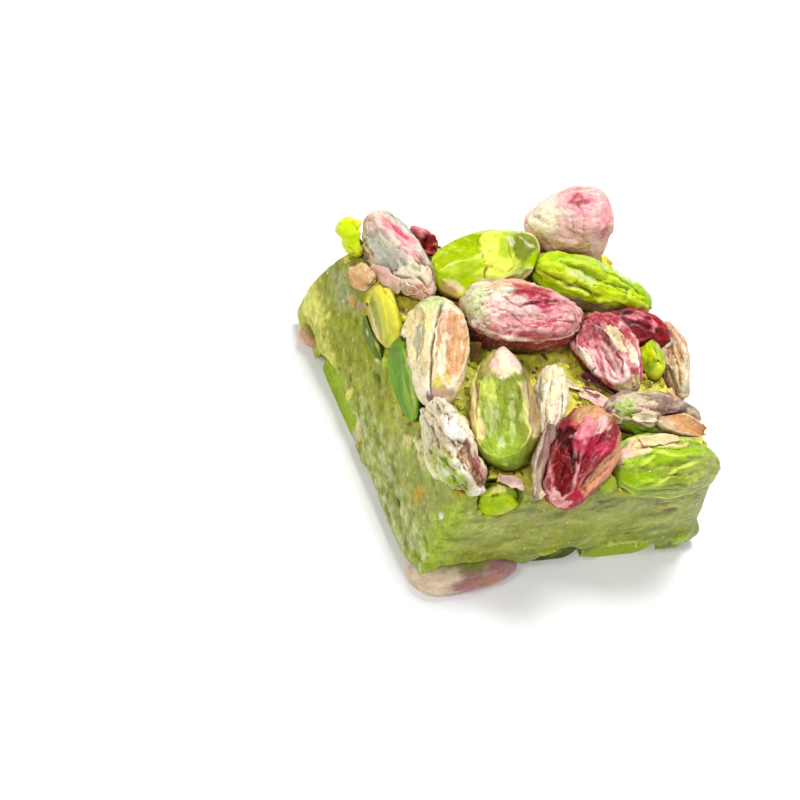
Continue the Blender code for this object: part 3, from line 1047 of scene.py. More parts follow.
        # Painted shade where the kernel touches its neighbours, fading towards the bar's outer edges.
        buried = 1.0 - eased(*EDGE_SPAN, np.abs(surface.points[:, :2]).max(axis=1))
        held = self.shade * contact * (0.3 + 0.7 * buried)
        colours = darkened(colours, held, CONTACT_SHADE_TINT)
        height = surface.points[:, 2]
        if self.coated:
            film = eased(-0.5, 0.7, height - self.coated + 0.7 * Grain(seed + 25).layered(own, 1.6, 3))
            colours = blended(colours, Tone.PASTE_GREEN.colour(), 0.9 * film)
        elif not self.knife:
            # Painted shade on the parts that sit below the paste's top.
            level = height + 0.5 * Grain(seed + 27).layered(own, 1.5, 3)
            sunk = (1.0 - eased(SUNK_SHADE_LEVEL, SUNK_SHADE_LEVEL + SUNK_SHADE_RISE, level)) * eased(6.0, 9.0, height) * buried
            colours = darkened(colours, sunk, SUNK_SHADE_TINT)
        surface.record(colours, np.clip(gloss, 0.08, 0.9), own)

    def touched(self, surface: Surface) -> np.ndarray:
        """How near the kernel's neighbours each point lies.

        Args:
            surface: The kernel's shaped surface.

        Returns:
            One number for each point, 1 where it touches a neighbour.
        """
        if self.coated or self.knife:
            return np.zeros(len(surface.points))
        tree = ground_of([made for name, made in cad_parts.items() if name != self.node and made.data])
        gaps = [tree.find_nearest(Vector(point), 2.0)[3] for point in surface.points]
        gap = np.array([2.0 if found is None else found for found in gaps])
        return 1.0 - eased(0.05, 0.9, gap + 0.25 * Grain(self.seed() + 71).layered(surface.points, 1.4, 3))

    def build(self, kit: ShaderKit) -> bpy.types.Object:
        """Builds the kernel's piece and puts it in the node's place.

        Args:
            kit: The finishes' materials.

        Returns:
            The piece.
        """
        surface = self.grown()
        cuts = self.shape(surface)
        self.paint(surface, cuts, self.touched(surface))
        surface.mesh.materials.append(kit.materials[self.slot])
        made = linked(f"{self.node}_look", surface.mesh)
        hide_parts(self.node)
        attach(made, "root")
        return made


P, C, T = Patch, Crease, Tone

TOP_KERNELS = (
    Kernel("torn_skin_kernel", Slot.GREY, -72, -4, 18, (
        P(T.PINK_PALE, -0.8, 0.3, 112, 48, 0.8, 0.5),
        P(T.PINK, -0.42, 0.34, 66, 28, ragged=0.5),
        P(T.MAGENTA, -0.3, 0.2, 62, 11, 0.9),
        P(T.PINK, 0.15, 0.36, 78, 14, 0.9, lean=-30),
        P(T.SAGE, 0.1, 0.2, 154, 18, 0.7, gloss=0.2),
        P(T.CREAM, 0.0, 0.42, 180, 15, 1.0, 0.6, 0.12, rim=T.BROWN),
        P(T.PINK_PALE, 0.75, 0.42, 130, 85, 0.9, 0.7, 0.14, rim=T.BROWN),
        P(T.IVORY, 0.62, 0.2, 120, 40, 0.8, 0.9, 0.1),
        P(T.LEAF_DEEP, 0.5, 0.1, 97, 10, 0.6, 0.6),
        P(T.SALMON, 0.82, 0.2, 126, 20, 0.9, 0.6, gloss=0.25),
    ), (
        C((0.02, 107), (0.22, 94), 0.3, 0.25, T.DARK_BROWN),
        C((0.58, 166), (0.86, 168), 0.3, 0.2, T.DARK_BROWN),
        C((0.35, 150), (0.6, 122), 0.25, 0.2, T.BROWN),
        C((0.55, 140), (0.95, 128), 0.3, 0.2, T.DARK_BROWN),
        C((0.6, 112), (0.9, 100), 0.25, 0.2, T.BROWN),
        C((-0.6, 100), (0.5, 98), -0.2, 0.3, T.PINK_PALE),
    ), facets=(
        Facet(152, 0.8, 0, T.GREY_BLUE, T.IVORY, 0.15, 0.9, 0.26),
        Facet(70, 0.7, -8, None, T.PINK_PALE, 0.1),
    ), wrinkle=1.0),
    Kernel("cut_green_kernel", Slot.LIME, 17, 2, -8, (
        P(T.LIME_PALE, 0.02, 0.3, 112, 44, 0.9, 0.4, 0.22, soft=0.08),
        P(T.LIME, 0.14, 0.2, 116, 30, 0.7, 0.5),
        P(T.LEAF_DULL, 0.56, 0.34, 122, 42, 0.9, 0.6),
        P(T.MINT_WHITE, 0.32, 0.12, 99, 9, 0.7, 0.6),
        P(T.CREAM, -0.82, 0.2, 196, 18, 0.9, 0.5),
        P(T.BROWN_TAN, -0.85, 0.24, 226, 22, 0.8),
        P(T.TAN, 0.9, 0.1, 164, 18, 0.8),
        P(T.GREEN_PALE, 0.05, 0.42, 176, 16, 0.8),
        P(T.CREAM, 0.5, 0.17, 192, 12, 0.9),
    ), (
        C((-0.27, 140), (-0.38, 172), 0.3, 0.2, T.OLIVE_TAN),
        C((0.22, 95), (0.16, 150), 0.12, 0.2, T.LEAF_DEEP, 0.5),
    ), facets=(
        Facet(90, 1.6, -22, T.LIME_CUT, T.IVORY, 0.2, 1.0, 0.2),
        Facet(122, 1.0, 22, T.LEAF_DULL, T.IVORY, 0.0, 0.8),
        Facet(170, 0.6, 8, T.GREEN_PALE, T.MINT_WHITE, 0.0, 0.6),
    ), wrinkle=0.5, craggy=0.5, chips=3),
    Kernel("pale_pink_kernel", Slot.CREAM, 168, -6, 10, (
        P(T.IVORY, 0.75, 0.4, 45, 60, 0.9, 0.5),
        P(T.TAN, 0.35, 0.7, 334, 14, 0.8, 0.4),
        P(T.PINK, -0.05, 0.32, 74, 30, 0.8, 0.6),
        P(T.CRIMSON, 0.0, 0.16, 76, 16, 0.75, 0.9),
        P(T.PINK, -0.75, 0.32, 38, 45, 0.7, 0.5),
        P(T.CRIMSON, -0.66, 0.1, 14, 12, 0.6, 0.8),
        P(T.BROWN_TAN, 0.0, 1.0, 305, 18, 0.6),
    ), (
        C((0.02, 66), (-0.1, 10), 0.06, 0.18, T.MAUVE, 0.4, 0.7),
        C((0.3, 60), (0.1, 14), 0.1, 0.2, T.MAUVE, 0.35, 0.7),
        C((-0.35, 60), (-0.45, 10), 0.05, 0.25, T.MAUVE, 0.3, 0.7),
        C((0.4, 24), (-0.3, 8), 0.1, 0.2, T.TAN, 0.5, 0.7),
    ), facets=(
        Facet(50, 0.9, 6, T.PINK_PALE, None, 0.1, 0.5, lip=0.04),
        Facet(340, 0.8, 0, T.PEACH, None, 0.0, 0.5, lip=0.03),
        Facet(110, 0.8, 10, T.IVORY, T.CREAM, 0.0, 0.4),
    ), tone=T.PINK_PALE, second=T.PINK_MID, wrinkle=0.9, craggy=0.8, chips=2),
    Kernel("bright_green_kernel", Slot.GREEN, -23, -3, 6, (
        P(T.LIME_LIT, -0.2, 1.0, 124, 40, 0.7, 0.6),
        P(T.MINT, -0.2, 0.3, 66, 10, 0.6, 0.6),
        P(T.MINT_WHITE, 0.3, 0.26, 64, 10, 0.7, 0.8),
        # Painted highlights: this lime patch and the small whitish one below.
        P(T.LIME_LIT, -0.8, 0.3, 128, 28, 0.95, 0.5, 0.15),
        P(T.MINT_WHITE, -0.35, 0.2, 116, 7, 0.5, 0.7),
        P(T.LIME_LIT, 0.3, 0.6, 134, 20, 0.95, 0.4, 0.25),
        P(T.LIME_PALE, -0.5, 0.25, 144, 10, 0.7, 0.6, 0.15),
        P(T.TAN, 0.85, 0.12, 156, 24, 0.7, 0.6),
        P(T.GREY_BROWN, 0.1, 0.95, 184, 20, 0.95, 0.3),
    ), (
        # The deep green in these three folds is painted shade.
        C((-0.95, 132), (0.05, 142), 0.4, 0.35, T.LEAF_DEEP),
        C((-0.75, 98), (0.0, 108), 0.4, 0.35, T.LEAF_DEEP),
        C((0.0, 88), (0.75, 96), 0.35, 0.3, T.LEAF_DEEP),
        C((0.0, 108), (0.5, 104), 0.3, 0.25, T.LEAF),
        C((0.5, 100), (0.4, 135), 0.2, 0.3, T.LEAF),
    ), facets=(
        Facet(178, 0.8, 0, lip=0.0),
        Facet(75, 0.5, 10, lip=0.0),
    ), tone=T.LEAF_VIVID, second=T.LIME_LIT, wrinkle=2.2, craggy=1.3, chips=3),
    Kernel("rosy_kernel", Slot.ROSE, -7, 0, -6, (
        P(T.MINT_WHITE, -0.8, 0.5, 105, 60, 0.9, 0.5),
        P(T.GREEN_PALE, -0.95, 0.2, 110, 50, 0.5, 0.6),
        P(T.PEACH, -0.25, 0.5, 80, 14, 0.7),
        P(T.CRIMSON, 0.1, 0.5, 104, 26, 0.95, 0.6),
        P(T.MAGENTA, 0.12, 0.3, 112, 12, 0.7, 0.7),
        P(T.PINK_PALE, -0.5, 0.4, 134, 30, 0.8, 0.8),
        P(T.ROSE, -0.45, 0.25, 147, 10, 0.7, 0.8),
        P(T.PINK_PALE, -0.1, 0.3, 128, 14, 0.6, 0.9),
        P(T.CRIMSON, 0.34, 0.3, 126, 20, 0.6, 0.8),
        P(T.PINK, 0.5, 0.3, 150, 30, 0.7, 0.7),
        P(T.PINK_MID, 0.8, 0.25, 145, 40, 0.6, 0.8),
        P(T.WINE, 0.0, 1.3, 205, 28, 0.95, 0.15, gloss=0.16),
        P(T.CRIMSON, -0.1, 0.9, 182, 10, 0.8, 0.5),
    ), (
        C((-0.85, 170), (0.0, 178), -0.14, 0.16, T.IVORY, 0.8),
        C((0.0, 178), (0.95, 172), -0.14, 0.16, T.IVORY, 0.8),
        C((-0.3, 122), (0.14, 107), 0.35, 0.22, T.WINE),
        C((0.14, 107), (0.45, 104), 0.3, 0.2, T.WINE, 0.7, 0.5),
        C((0.6, 112), (0.74, 152), 0.2, 0.2, T.WINE),
        C((-0.7, 120), (-0.2, 150), 0.16, 0.2, T.SALMON, 0.6, 0.7),
        C((-0.5, 108), (-0.1, 140), 0.16, 0.2, T.MAUVE, 0.6, 0.7),
        C((0.0, 140), (0.6, 146), 0.16, 0.2, T.ROSE, 0.6, 0.7),
    ), facets=(
        Facet(122, 0.9, 4, hollow=0.15, lip=0.05),
        Facet(205, 0.8, 0, lip=0.0),
    ), tone=T.ROSE, second=T.PINK_MID, wrinkle=1.4, chips=3, peel=0.95, bare=T.PINK_MID),
    Kernel("lobed_pink_kernel", Slot.ROSE, -80, -6, 8, (
        P(T.CRIMSON, -0.45, 0.55, 120, 70, 0.75, 0.5),
        P(T.PINK_PALE, -0.3, 0.6, 184, 12, 0.9),
        P(T.IVORY, 0.0, 0.4, 166, 9, 0.9, 0.6, 0.12),
        P(T.PINK, 0.35, 0.55, 130, 48, 0.85, 0.5),
        P(T.CREAM, -0.1, 0.3, 92, 11, 1.0, 0.5, 0.16),
        P(T.PINK_PALE, 0.35, 0.35, 136, 14, 0.9, 0.8),
        P(T.PINK_PALE, 0.6, 0.2, 108, 48, 0.7, 0.8),
        P(T.IVORY, 0.5, 0.42, 66, 12, 0.95, 0.5, 0.12),
        P(T.OLIVE_TAN, 0.97, 0.2, 130, 90, 0.9, 0.5),
        P(T.CRIMSON, 0.35, 0.25, 112, 10, 0.7, 0.8),
    ), (
        C((-0.7, 108), (0.1, 112), 0.45, 0.35, T.WINE),
        C((0.1, 150), (0.6, 172), 0.2, 0.25, T.WINE),
        C((0.0, 128), (0.6, 140), 0.3, 0.22, T.CRIMSON, 0.8, 0.6),
        C((0.2, 100), (0.7, 120), 0.3, 0.22, T.ROSE, 0.8, 0.6),
    ), facets=(
        Facet(126, 1.2, 9, T.PINK, T.IVORY, 0.5, 0.9),
        Facet(76, 0.7, 12, T.SALMON, T.PINK_PALE, 0.1, 0.6),
        Facet(196, 0.7, 10, T.WINE, None, 0.0, 0.8),
    ), tone=T.CRIMSON, second=T.ROSE, wrinkle=1.3, chips=2),
    Kernel("dark_red_kernel", Slot.RED, -22, -2, 0, (
        P(T.PLUM, -0.8, 0.4, 115, 45, 0.9),
        # The small pink patch below is a painted highlight.
        P(T.PINK, -0.45, 0.25, 90, 13, 0.7, 0.8),
        P(T.RED, 0.6, 0.4, 110, 40, 0.7, 0.5, gloss=0.14),
    ), (C((-0.6, 120), (0.6, 128), 0.3, 0.3, T.MAROON),),
        facets=(Facet(130, 0.7, -10, T.WINE, T.PINK, 0.2, 0.5, 0.15),), tone=T.CRIMSON, wrinkle=1.4),
    Kernel("lime_chip_right", Slot.LIME, -110, -6, 0, (
        P(T.IVORY, -0.6, 0.5, 60, 18, 0.9),
        P(T.LEAF, 0.7, 0.5, 120, 60, 0.8),
    ), facets=(Facet(120, 0.9, 20, T.LIME_LIT, T.IVORY, 0.2), Facet(60, 0.8, 0, T.LEAF)),
        tone=T.LIME_LIT, craggy=1.6),
    Kernel("tan_cream_kernel", Slot.CREAM, -111, -3, 12, (
        P(T.MINT, -0.72, 0.24, 112, 40, 0.95, 0.5),
        P(T.CREAM, -0.32, 0.4, 146, 17, 0.9, 0.5),
        P(T.YELLOW, -0.3, 0.4, 118, 13, 0.3, 0.6),
        # The sage patch below is painted shade.
        P(T.SAGE, 0.1, 0.4, 138, 9, 0.8, 0.5),
        P(T.PEACH, 0.12, 0.68, 54, 24, 0.85, 0.4),
        P(T.TAN, -0.1, 0.5, 74, 12, 0.7, 0.6),
        # The ivory patch below is a painted highlight.
        P(T.IVORY, 0.35, 0.36, 84, 12, 0.85, 0.6),
        P(T.YELLOW, 0.72, 0.14, 74, 22, 0.9, 0.6, rim=T.CREAM),
        P(T.MAUVE, 0.93, 0.15, 96, 55, 0.6, 0.6),
        P(T.BROWN, 0.95, 0.12, 130, 20, 0.8, 0.6),
    ), (
        C((-0.65, 86), (-0.1, 99), 0.45, 0.22, T.BROWN),
        C((-0.1, 99), (0.35, 108), 0.45, 0.22, T.BROWN),
        C((0.35, 108), (0.85, 122), 0.4, 0.25, T.BROWN),
        C((-0.6, 124), (0.4, 128), 0.1, 0.3, T.OLIVE_TAN, 0.3),
        C((-0.2, 60), (0.5, 56), 0.08, 0.25, T.TAN, 0.6, 0.7),
    ), facets=(
        Facet(142, 0.7, 0, T.MINT_PALE, T.CREAM, 0.1, 0.7),
        Facet(68, 0.9, 6, T.PEACH, T.IVORY, 0.25, 0.8),
    ), wrinkle=0.9, craggy=0.6, chips=0),
    Kernel("upright_green_kernel", Slot.GREEN, 71, 6, -4, (
        P(T.LEAF_DULL, -0.35, 0.45, 64, 30, 0.6, 0.8),
        P(T.LEAF, -0.86, 0.26, 50, 50, 0.8, 0.6),
        P(T.MINT, -0.35, 0.5, 40, 10, 0.5, 0.9),
        # The small whitish patch below is a painted glint.
        P(T.MINT_WHITE, -0.75, 0.14, 62, 12, 0.5, 0.8),
        P(T.MINT, -0.5, 0.25, 92, 8, 0.5, 0.9),
        # The pale lime patch below is a painted highlight.
        P(T.LIME_PALE, 0.1, 0.16, 44, 14, 0.4, 0.9),
        P(T.PINK_PALE, 0.62, 0.34, 82, 36, 0.95, 0.35, 0.18, soft=0.1),
        P(T.IVORY, 0.5, 0.3, 76, 14, 0.8, 0.7),
        P(T.OLIVE_TAN, 0.66, 0.26, 36, 20, 0.9, 0.5),
        P(T.CREAM, 0.1, 0.85, 4, 13, 0.95, 0.3, 0.1),
        P(T.BROWN_TAN, 0.0, 0.65, 143, 15, 0.9, 0.4),
    ), (
        C((0.6, 15), (-0.7, 12), 0.2, 0.22, T.OLIVE_TAN, 0.6),
        C((0.5, 128), (-0.8, 132), 0.2, 0.25, T.BROWN_TAN, 0.7),
        C((0.05, 60), (-0.6, 84), 0.12, 0.4, T.LEAF, 0.5, 0.8),
        C((-0.1, 50), (-0.4, 70), 0.14, 0.3, T.LEAF_DEEP, 0.35, 0.8),
    ), facets=(
        Facet(66, 1.5, -8, T.GREEN_CUT, T.CREAM, 0.12, 0.95, 0.24),
        Facet(15, 0.6, 0, T.OLIVE_TAN, None, 0.0, 0.6),
        Facet(125, 0.6, 0, T.BEIGE, T.CREAM, 0.0, 0.6),
    ), tone=T.LEAF_DULL, second=T.GREEN_CUT, wrinkle=1.2, craggy=0.5, chips=0),
    Kernel("cream_sliver", Slot.CREAM, -119, -2, 0, (
        P(T.BEIGE, 0.1, 0.5, 160, 22, 0.8, 0.6),
        P(T.YELLOW, -0.5, 0.4, 110, 30, 0.25, 0.6),
        P(T.PINK_PALE, 0.4, 0.4, 78, 18, 0.6, 0.6),
    ), (
        C((-0.4, 120), (0.8, 136), 0.2, 0.2, T.OLIVE_TAN),
        C((0.0, 90), (0.9, 96), 0.15, 0.2, T.TAN, 0.6),
    ), tone=T.IVORY, second=T.CREAM, facets=(Facet(110, 0.8, 10, T.IVORY, T.WHITE, 0.1),), wrinkle=1.2),
    Kernel("open_red_kernel", Slot.RED, -136, -9, 6, (
        P(T.TAN, -0.75, 0.5, 105, 42, 0.95, 0.4),
        P(T.OLIVE_TAN, -0.6, 0.3, 110, 18, 0.6, 0.7),
        P(T.TAN, -0.25, 0.75, 20, 18, 0.95, 0.4),
        P(T.MAGENTA, -0.1, 0.34, 84, 34, 0.8, 0.6, 0.22),
        P(T.PINK, -0.2, 0.3, 96, 16, 0.8, 0.9, 0.1),
        P(T.CRIMSON, -0.02, 0.25, 70, 13, 0.8, 0.8),
        P(T.PINK_PALE, -0.55, 0.2, 72, 12, 0.9, 0.6),
        P(T.WINE, 0.45, 0.4, 62, 18, 0.8, 0.5),
        # The maroon in this sunken patch is painted shade.
        P(T.MAROON, 0.05, 0.2, 132, 15, 0.95, 0.4, -0.4),
        P(T.PINK_PALE, 0.95, 0.14, 100, 120, 0.8, 0.7),
    ), (
        # The maroon in this deep crease is painted shade.
        C((0.1, 118), (0.5, 80), 0.6, 0.25, T.MAROON, 0.9),
        C((0.16, 104), (0.5, 70), -0.25, 0.16, T.PINK_PALE),
        C((0.15, 150), (0.9, 146), -0.2, 0.2, T.PINK),
        C((0.3, 112), (0.9, 108), 0.1, 0.25, T.MAROON, 0.4, 0.6),
    ), facets=(
        Facet(106, 1.3, 22, T.RED_DEEP, T.PINK_PALE, 0.8, 1.0, 0.1),
        Facet(40, 0.8, 10, T.WINE, T.PEACH, 0.1, 0.7),
    ), tone=T.CRIMSON, second=T.WINE, wrinkle=1.4, chips=0),
    Kernel("corner_green_kernel", Slot.GREEN, -4, 0, 22, (
        P(T.LEAF_VIVID, -0.55, 0.36, 92, 16, 0.8, 0.6),
        P(T.LEAF_VIVID, 0.2, 0.5, 78, 12, 0.9, 0.5),
        P(T.LEAF_VIVID, -0.62, 0.36, 142, 24, 0.85),
        P(T.PINK_PALE, -0.85, 0.3, 60, 24, 0.9, 0.6, 0.14),
        P(T.CREAM, -0.2, 0.5, 52, 13, 0.95, 0.6, 0.14),
        P(T.PASTE_SAGE, 0.62, 0.45, 125, 42, 0.7, 0.5),
    ), (
        # The pale lime on these four raised ribs is painted highlight.
        C((-0.7, 104), (-0.4, 82), -0.24, 0.25, T.LIME_PALE, 0.6),
        C((-0.4, 82), (0.1, 88), -0.24, 0.25, T.LIME_PALE, 0.6),
        C((-0.45, 150), (-0.1, 118), -0.28, 0.3, T.LIME_PALE, 0.6),
        C((-0.1, 118), (0.4, 98), -0.24, 0.28, T.LIME_PALE, 0.6),
        C((-0.2, 124), (0.1, 124), 0.25, 0.16, T.LEAF_DEEP),
        C((-0.45, 104), (0.1, 104), 0.25, 0.4, T.LEAF),
        C((-0.9, 172), (0.6, 166), 0.14, 0.2, T.LEAF_DEEP, 0.6),
    ), facets=(
        Facet(106, 0.8, 0, T.GREEN_CUT, None, 0.0, 0.7, lip=0.03),
        Facet(158, 0.9, 0, T.LEAF_DULL, None, 0.0, 0.6, lip=0.03),
        Facet(120, 0.7, 24, T.PASTE_SAGE, None, 0.0, 0.6, lip=0.0),
    ), wrinkle=1.8, chips=0),
    Kernel("purple_skin_kernel", Slot.GREY, -10, -2, 8, (
        P(T.BEIGE, -0.55, 0.45, 84, 22, 0.9, 0.5),
        P(T.MAUVE, 0.2, 0.6, 118, 20, 0.8, 0.5),
        P(T.PINK, 0.45, 0.34, 126, 14, 0.8, 0.6),
        P(T.IVORY, -0.5, 0.4, 128, 14, 0.9, 0.7, 0.1),
        P(T.LEAF_VIVID, -0.85, 0.16, 100, 30, 0.85, 0.5),
        P(T.DARK_BROWN, 0.55, 0.4, 88, 9, 0.5, 0.6),
        P(T.LEAF_VIVID, -0.3, 0.5, 170, 24, 0.95, 0.4),
    ), (
        C((-0.3, 104), (0.8, 100), 0.2, 0.2, T.DARK_BROWN),
        C((-0.9, 148), (0.4, 150), -0.18, 0.18, T.CREAM),
    ), facets=(
        Facet(84, 0.6, 0, T.GREY_BROWN, T.BEIGE, 0.0, 0.5),
        Facet(130, 0.6, 10, T.MAUVE, T.CREAM, 0.1, 0.5),
    ), tone=T.GREY_BROWN, second=T.MAUVE, wrinkle=1.4, chips=0),
    Kernel("crushed_cream_kernel", Slot.CREAM, -76, -4, -10, (
        P(T.CREAM, -0.4, 0.8, 212, 66, 0.9, 0.7, 0.22),
        P(T.PASTE_PALE, 0.25, 0.6, 216, 50, 0.8, 0.9, 0.16),
        P(T.FROST, -0.6, 0.3, 222, 26, 0.7, 0.9, 0.12),
        P(T.CREAM, -0.7, 0.4, 140, 50, 0.8, 0.6, 0.18, rim=T.BROWN_TAN),
        # Painted shade in this sunken olive patch, and a painted highlight in the white patch below.
        P(T.OLIVE_TAN, -0.3, 0.25, 172, 17, 0.7, 0.5, -0.3),
        P(T.WHITE, 0.02, 0.22, 127, 15, 0.95, 0.4, 0.16, gloss=0.14),
        P(T.IVORY, 0.1, 0.5, 92, 13, 0.9, 0.6, 0.14),
        P(T.PEACH, 0.45, 0.4, 134, 14, 0.8, 0.6),
        P(T.PINK, 0.72, 0.34, 92, 8, 0.9),
        P(T.IVORY, 0.3, 0.5, 152, 18, 0.8, 0.7, 0.14),
        P(T.LEAF_DEEP, -0.62, 0.1, 118, 16, 0.6, 0.7),
        P(T.PASTE_LIT, 0.7, 0.55, 190, 40, 0.95, 0.5, 0.3),
    ), (
        C((0.04, 142), (0.22, 116), 0.25, 0.16, T.DARK_BROWN),
        C((-0.45, 124), (-0.3, 96), 0.3, 0.18, T.BROWN),
        C((-0.25, 150), (0.0, 168), 0.25, 0.18, T.BROWN_TAN),
        C((0.4, 128), (0.9, 134), -0.2, 0.18, T.PEACH),
    ), facets=(
        Facet(106, 0.8, 24, T.BRICK, T.PINK_PALE, 0.4, 0.85, 0.2),
        Facet(150, 0.6, -20, T.CREAM, T.IVORY, 0.1, 0.6),
    ), tone=T.CREAM, second=T.OLIVE_TAN, wrinkle=1.6, craggy=1.5, chips=4, peel=0.6, bare=T.IVORY,
        shade=0.2),
    Kernel("edge_skin_kernel", Slot.TAN, -104, -1, -20, (
        P(T.PEACH, 0.3, 0.6, 120, 18, 0.8, 0.7),
        P(T.BRICK, -0.2, 0.3, 130, 14, 0.6, 0.7),
        P(T.MAUVE, -0.5, 0.4, 110, 20, 0.5, 0.6),
        P(T.OLIVE_TAN, 0.6, 0.4, 150, 20, 0.6, 0.6),
    ), (C((-0.8, 118), (0.8, 124), 0.2, 0.2, T.BROWN),),
        facets=(Facet(130, 0.6, 0, T.BROWN_TAN, T.BEIGE, 0.1, 0.4),), wrinkle=1.5, peel=0.6, bare=T.BEIGE),
    Kernel("red_chip_back", Slot.RED, -40, -10, 0, (
        P(T.PINK, -0.5, 0.5, 110, 50, 0.85, 0.5),
        P(T.PEACH, 0.85, 0.2, 130, 70, 0.8),
    ), (C((0.0, 100), (0.4, 160), 0.3, 0.25, T.MAROON),),
        facets=(Facet(130, 0.7, 20, T.RED, T.PINK, 0.3, 0.9, 0.14),),
        tone=T.ROSE, second=T.CRIMSON, wrinkle=1.6),
    Kernel("lime_nub_back", Slot.LIME, -80, 20, 0, (), (),
           tone=T.LIME_LIT, second=T.YELLOW, craggy=1.8, wrinkle=1.5),
)

SLICED_KERNELS = (
    Kernel("leaf_green_slice", Slot.GREEN, -100, -10, 0, (
        P(T.LEAF, 0.6, 0.5, 170, 60, 0.6, 0.9),
        P(T.PASTE_PALE, 0.2, 0.8, 118, 7, 0.6, 0.9),
        P(T.LEAF_DEEP, -0.85, 0.3, 160, 60, 0.6),
    ), (
        C((-0.2, 160), (0.9, 166), 0.04, 0.3, T.GREEN_PALE, 0.3, 0.6),
    ), tone=T.EMERALD, second=T.LEAF_VIVID, wrinkle=1.0, craggy=0.9, chips=2, knife=Knife.LEFT, proud=-0.1),
    Kernel("yellow_slice", Slot.LIME, -96, -12, 0, (
        P(T.BROWN_TAN, 0.0, 1.0, 222, 12, 0.6, 0.6),
        P(T.CREAM, 0.2, 0.6, 208, 9, 0.7, 0.9),
        P(T.PASTE_OLIVE, -0.1, 0.7, 158, 20, 0.5, 0.9),
        P(T.PASTE_SAGE, 0.4, 0.5, 182, 14, 0.7, 0.9, 0.1),
        P(T.LEAF_DEEP, -0.5, 0.3, 184, 10, 0.6, 0.9),
    ), (
        C((-0.8, 170), (0.9, 176), 0.08, 0.25, T.PASTE_OLIVE, 0.5),
        C((-0.7, 150), (0.9, 148), 0.05, 0.25, T.YELLOW, 0.5),
        C((-0.9, 190), (0.5, 196), 0.06, 0.2, T.PASTE_DEEP, 0.4),
    ), tone=T.PASTE_YELLOW, second=T.PASTE_PALE, wrinkle=2.4, craggy=2.0, chips=5,
        knife=Knife.LEFT, proud=-0.3),
    Kernel("tan_slice", Slot.TAN, -80, 30, 0, (
        P(T.CREAM, 0.2, 0.5, 140, 30, 0.7),
        P(T.PEACH, -0.3, 0.6, 170, 40, 0.7, 0.5),
    ), (), tone=T.PEACH, second=T.BEIGE, wrinkle=1.6, knife=Knife.LEFT, proud=0.1),
    Kernel("dark_green_slice", Slot.GREEN, -88, -16, 0, (
        P(T.CREAM, 0.0, 1.0, 110, 14, 0.8, 0.7),
        P(T.CREAM, -0.3, 0.15, 190, 12, 0.8, 0.6),
    ), (), tone=T.LEAF_DEEP, second=T.LEAF, wrinkle=0.6, craggy=0.5, knife=Knife.LEFT, proud=-0.2),
    Kernel("lime_slice_front", Slot.LIME, -4, 0, 0, (
        P(T.CREAM, -0.3, 0.7, 88, 12, 0.7, 0.5),
        P(T.YELLOW, 0.3, 0.4, 190, 40, 0.5),
    ), (C((-0.2, 150), (0.4, 215), 0.15, 0.3, T.LEAF, 0.5),),
        tone=T.PASTE_LIT, second=T.LIME, wrinkle=1.6, craggy=1.8,
        facets=(Facet(150, 0.5), Facet(110, 0.6, 20), Facet(70, 0.5, -20)), knife=Knife.FRONT, proud=-0.1),
)


def lower(
    name: str, slot: Slot, yaw: float, tone: Tone, second: Tone, coated: float = 2.6,
    *patches: Patch, knife: Knife | None = None, proud: float = 0.0,
) -> Kernel:
    """A kernel of the base, with a film of paste from a level up.

    Args:
        name: Its node.
        slot: Its slot.
        yaw: Its turn in degrees.
        tone: Its tone.
        second: Its second tone.
        coated: The level of the film, in millimetres.
        patches: Its patches.
        knife: The cut side that it is level with, if any.
        proud: How far it stands out of the cut side, in millimetres.

    Returns:
        The kernel.
    """
    return Kernel(
        name, slot, yaw, 0.0, 0.0, patches, (), tone, second, wrinkle=0.5, chips=0, coated=coated,
        knife=knife, proud=proud, voxel=LOWER_VOXEL,
    )


LOWER_KERNELS = (
    lower("lower_pink_corner", Slot.ROSE, 5, T.MAUVE, T.BROWN_TAN, 3.4,
          P(T.BEIGE, -0.8, 0.5, 180, 200, 0.9, 0.4), P(T.SALMON, 0.3, 0.4, 190, 30, 0.4, 0.6)),
    lower("lower_green_front", Slot.GREEN, 66, T.PASTE_DEEP, T.PASTE_GREEN, 2.2,
          knife=Knife.FRONT, proud=-2.4),
    lower("lower_lime_front", Slot.LIME, 8, T.PASTE_LIT, T.PASTE, 2.6, knife=Knife.FRONT, proud=-2.0),
    lower("lower_green_corner", Slot.GREEN, 104, T.LEAF_DEEP, T.PASTE_GREEN, 2.0,
          knife=Knife.FRONT, proud=-1.6),
    lower("lower_green_left", Slot.GREEN, -92, T.PASTE_LIT, T.LEAF, 2.2,
          P(T.IVORY, 0.85, 0.25, 180, 120, 0.9, 0.4), knife=Knife.LEFT, proud=-2.3),
    lower("lower_cream_left", Slot.CREAM, 150, T.BEIGE, T.CREAM),
    lower("lower_tan_left", Slot.TAN, 176, T.TAN, T.BEIGE),
    lower("lower_lime_back", Slot.LIME, -8, T.PASTE_LIT, T.LIME),
    lower("lower_rosy_middle", Slot.ROSE, 38, T.MAUVE, T.SALMON),
    lower("lower_green_middle", Slot.GREEN, -32, T.PASTE_GREEN, T.LEAF),
    lower("lower_pink_right", Slot.ROSE, 86, T.MAUVE, T.SALMON),
    lower("lower_cream_back", Slot.CREAM, 142, T.BEIGE, T.CREAM),
)

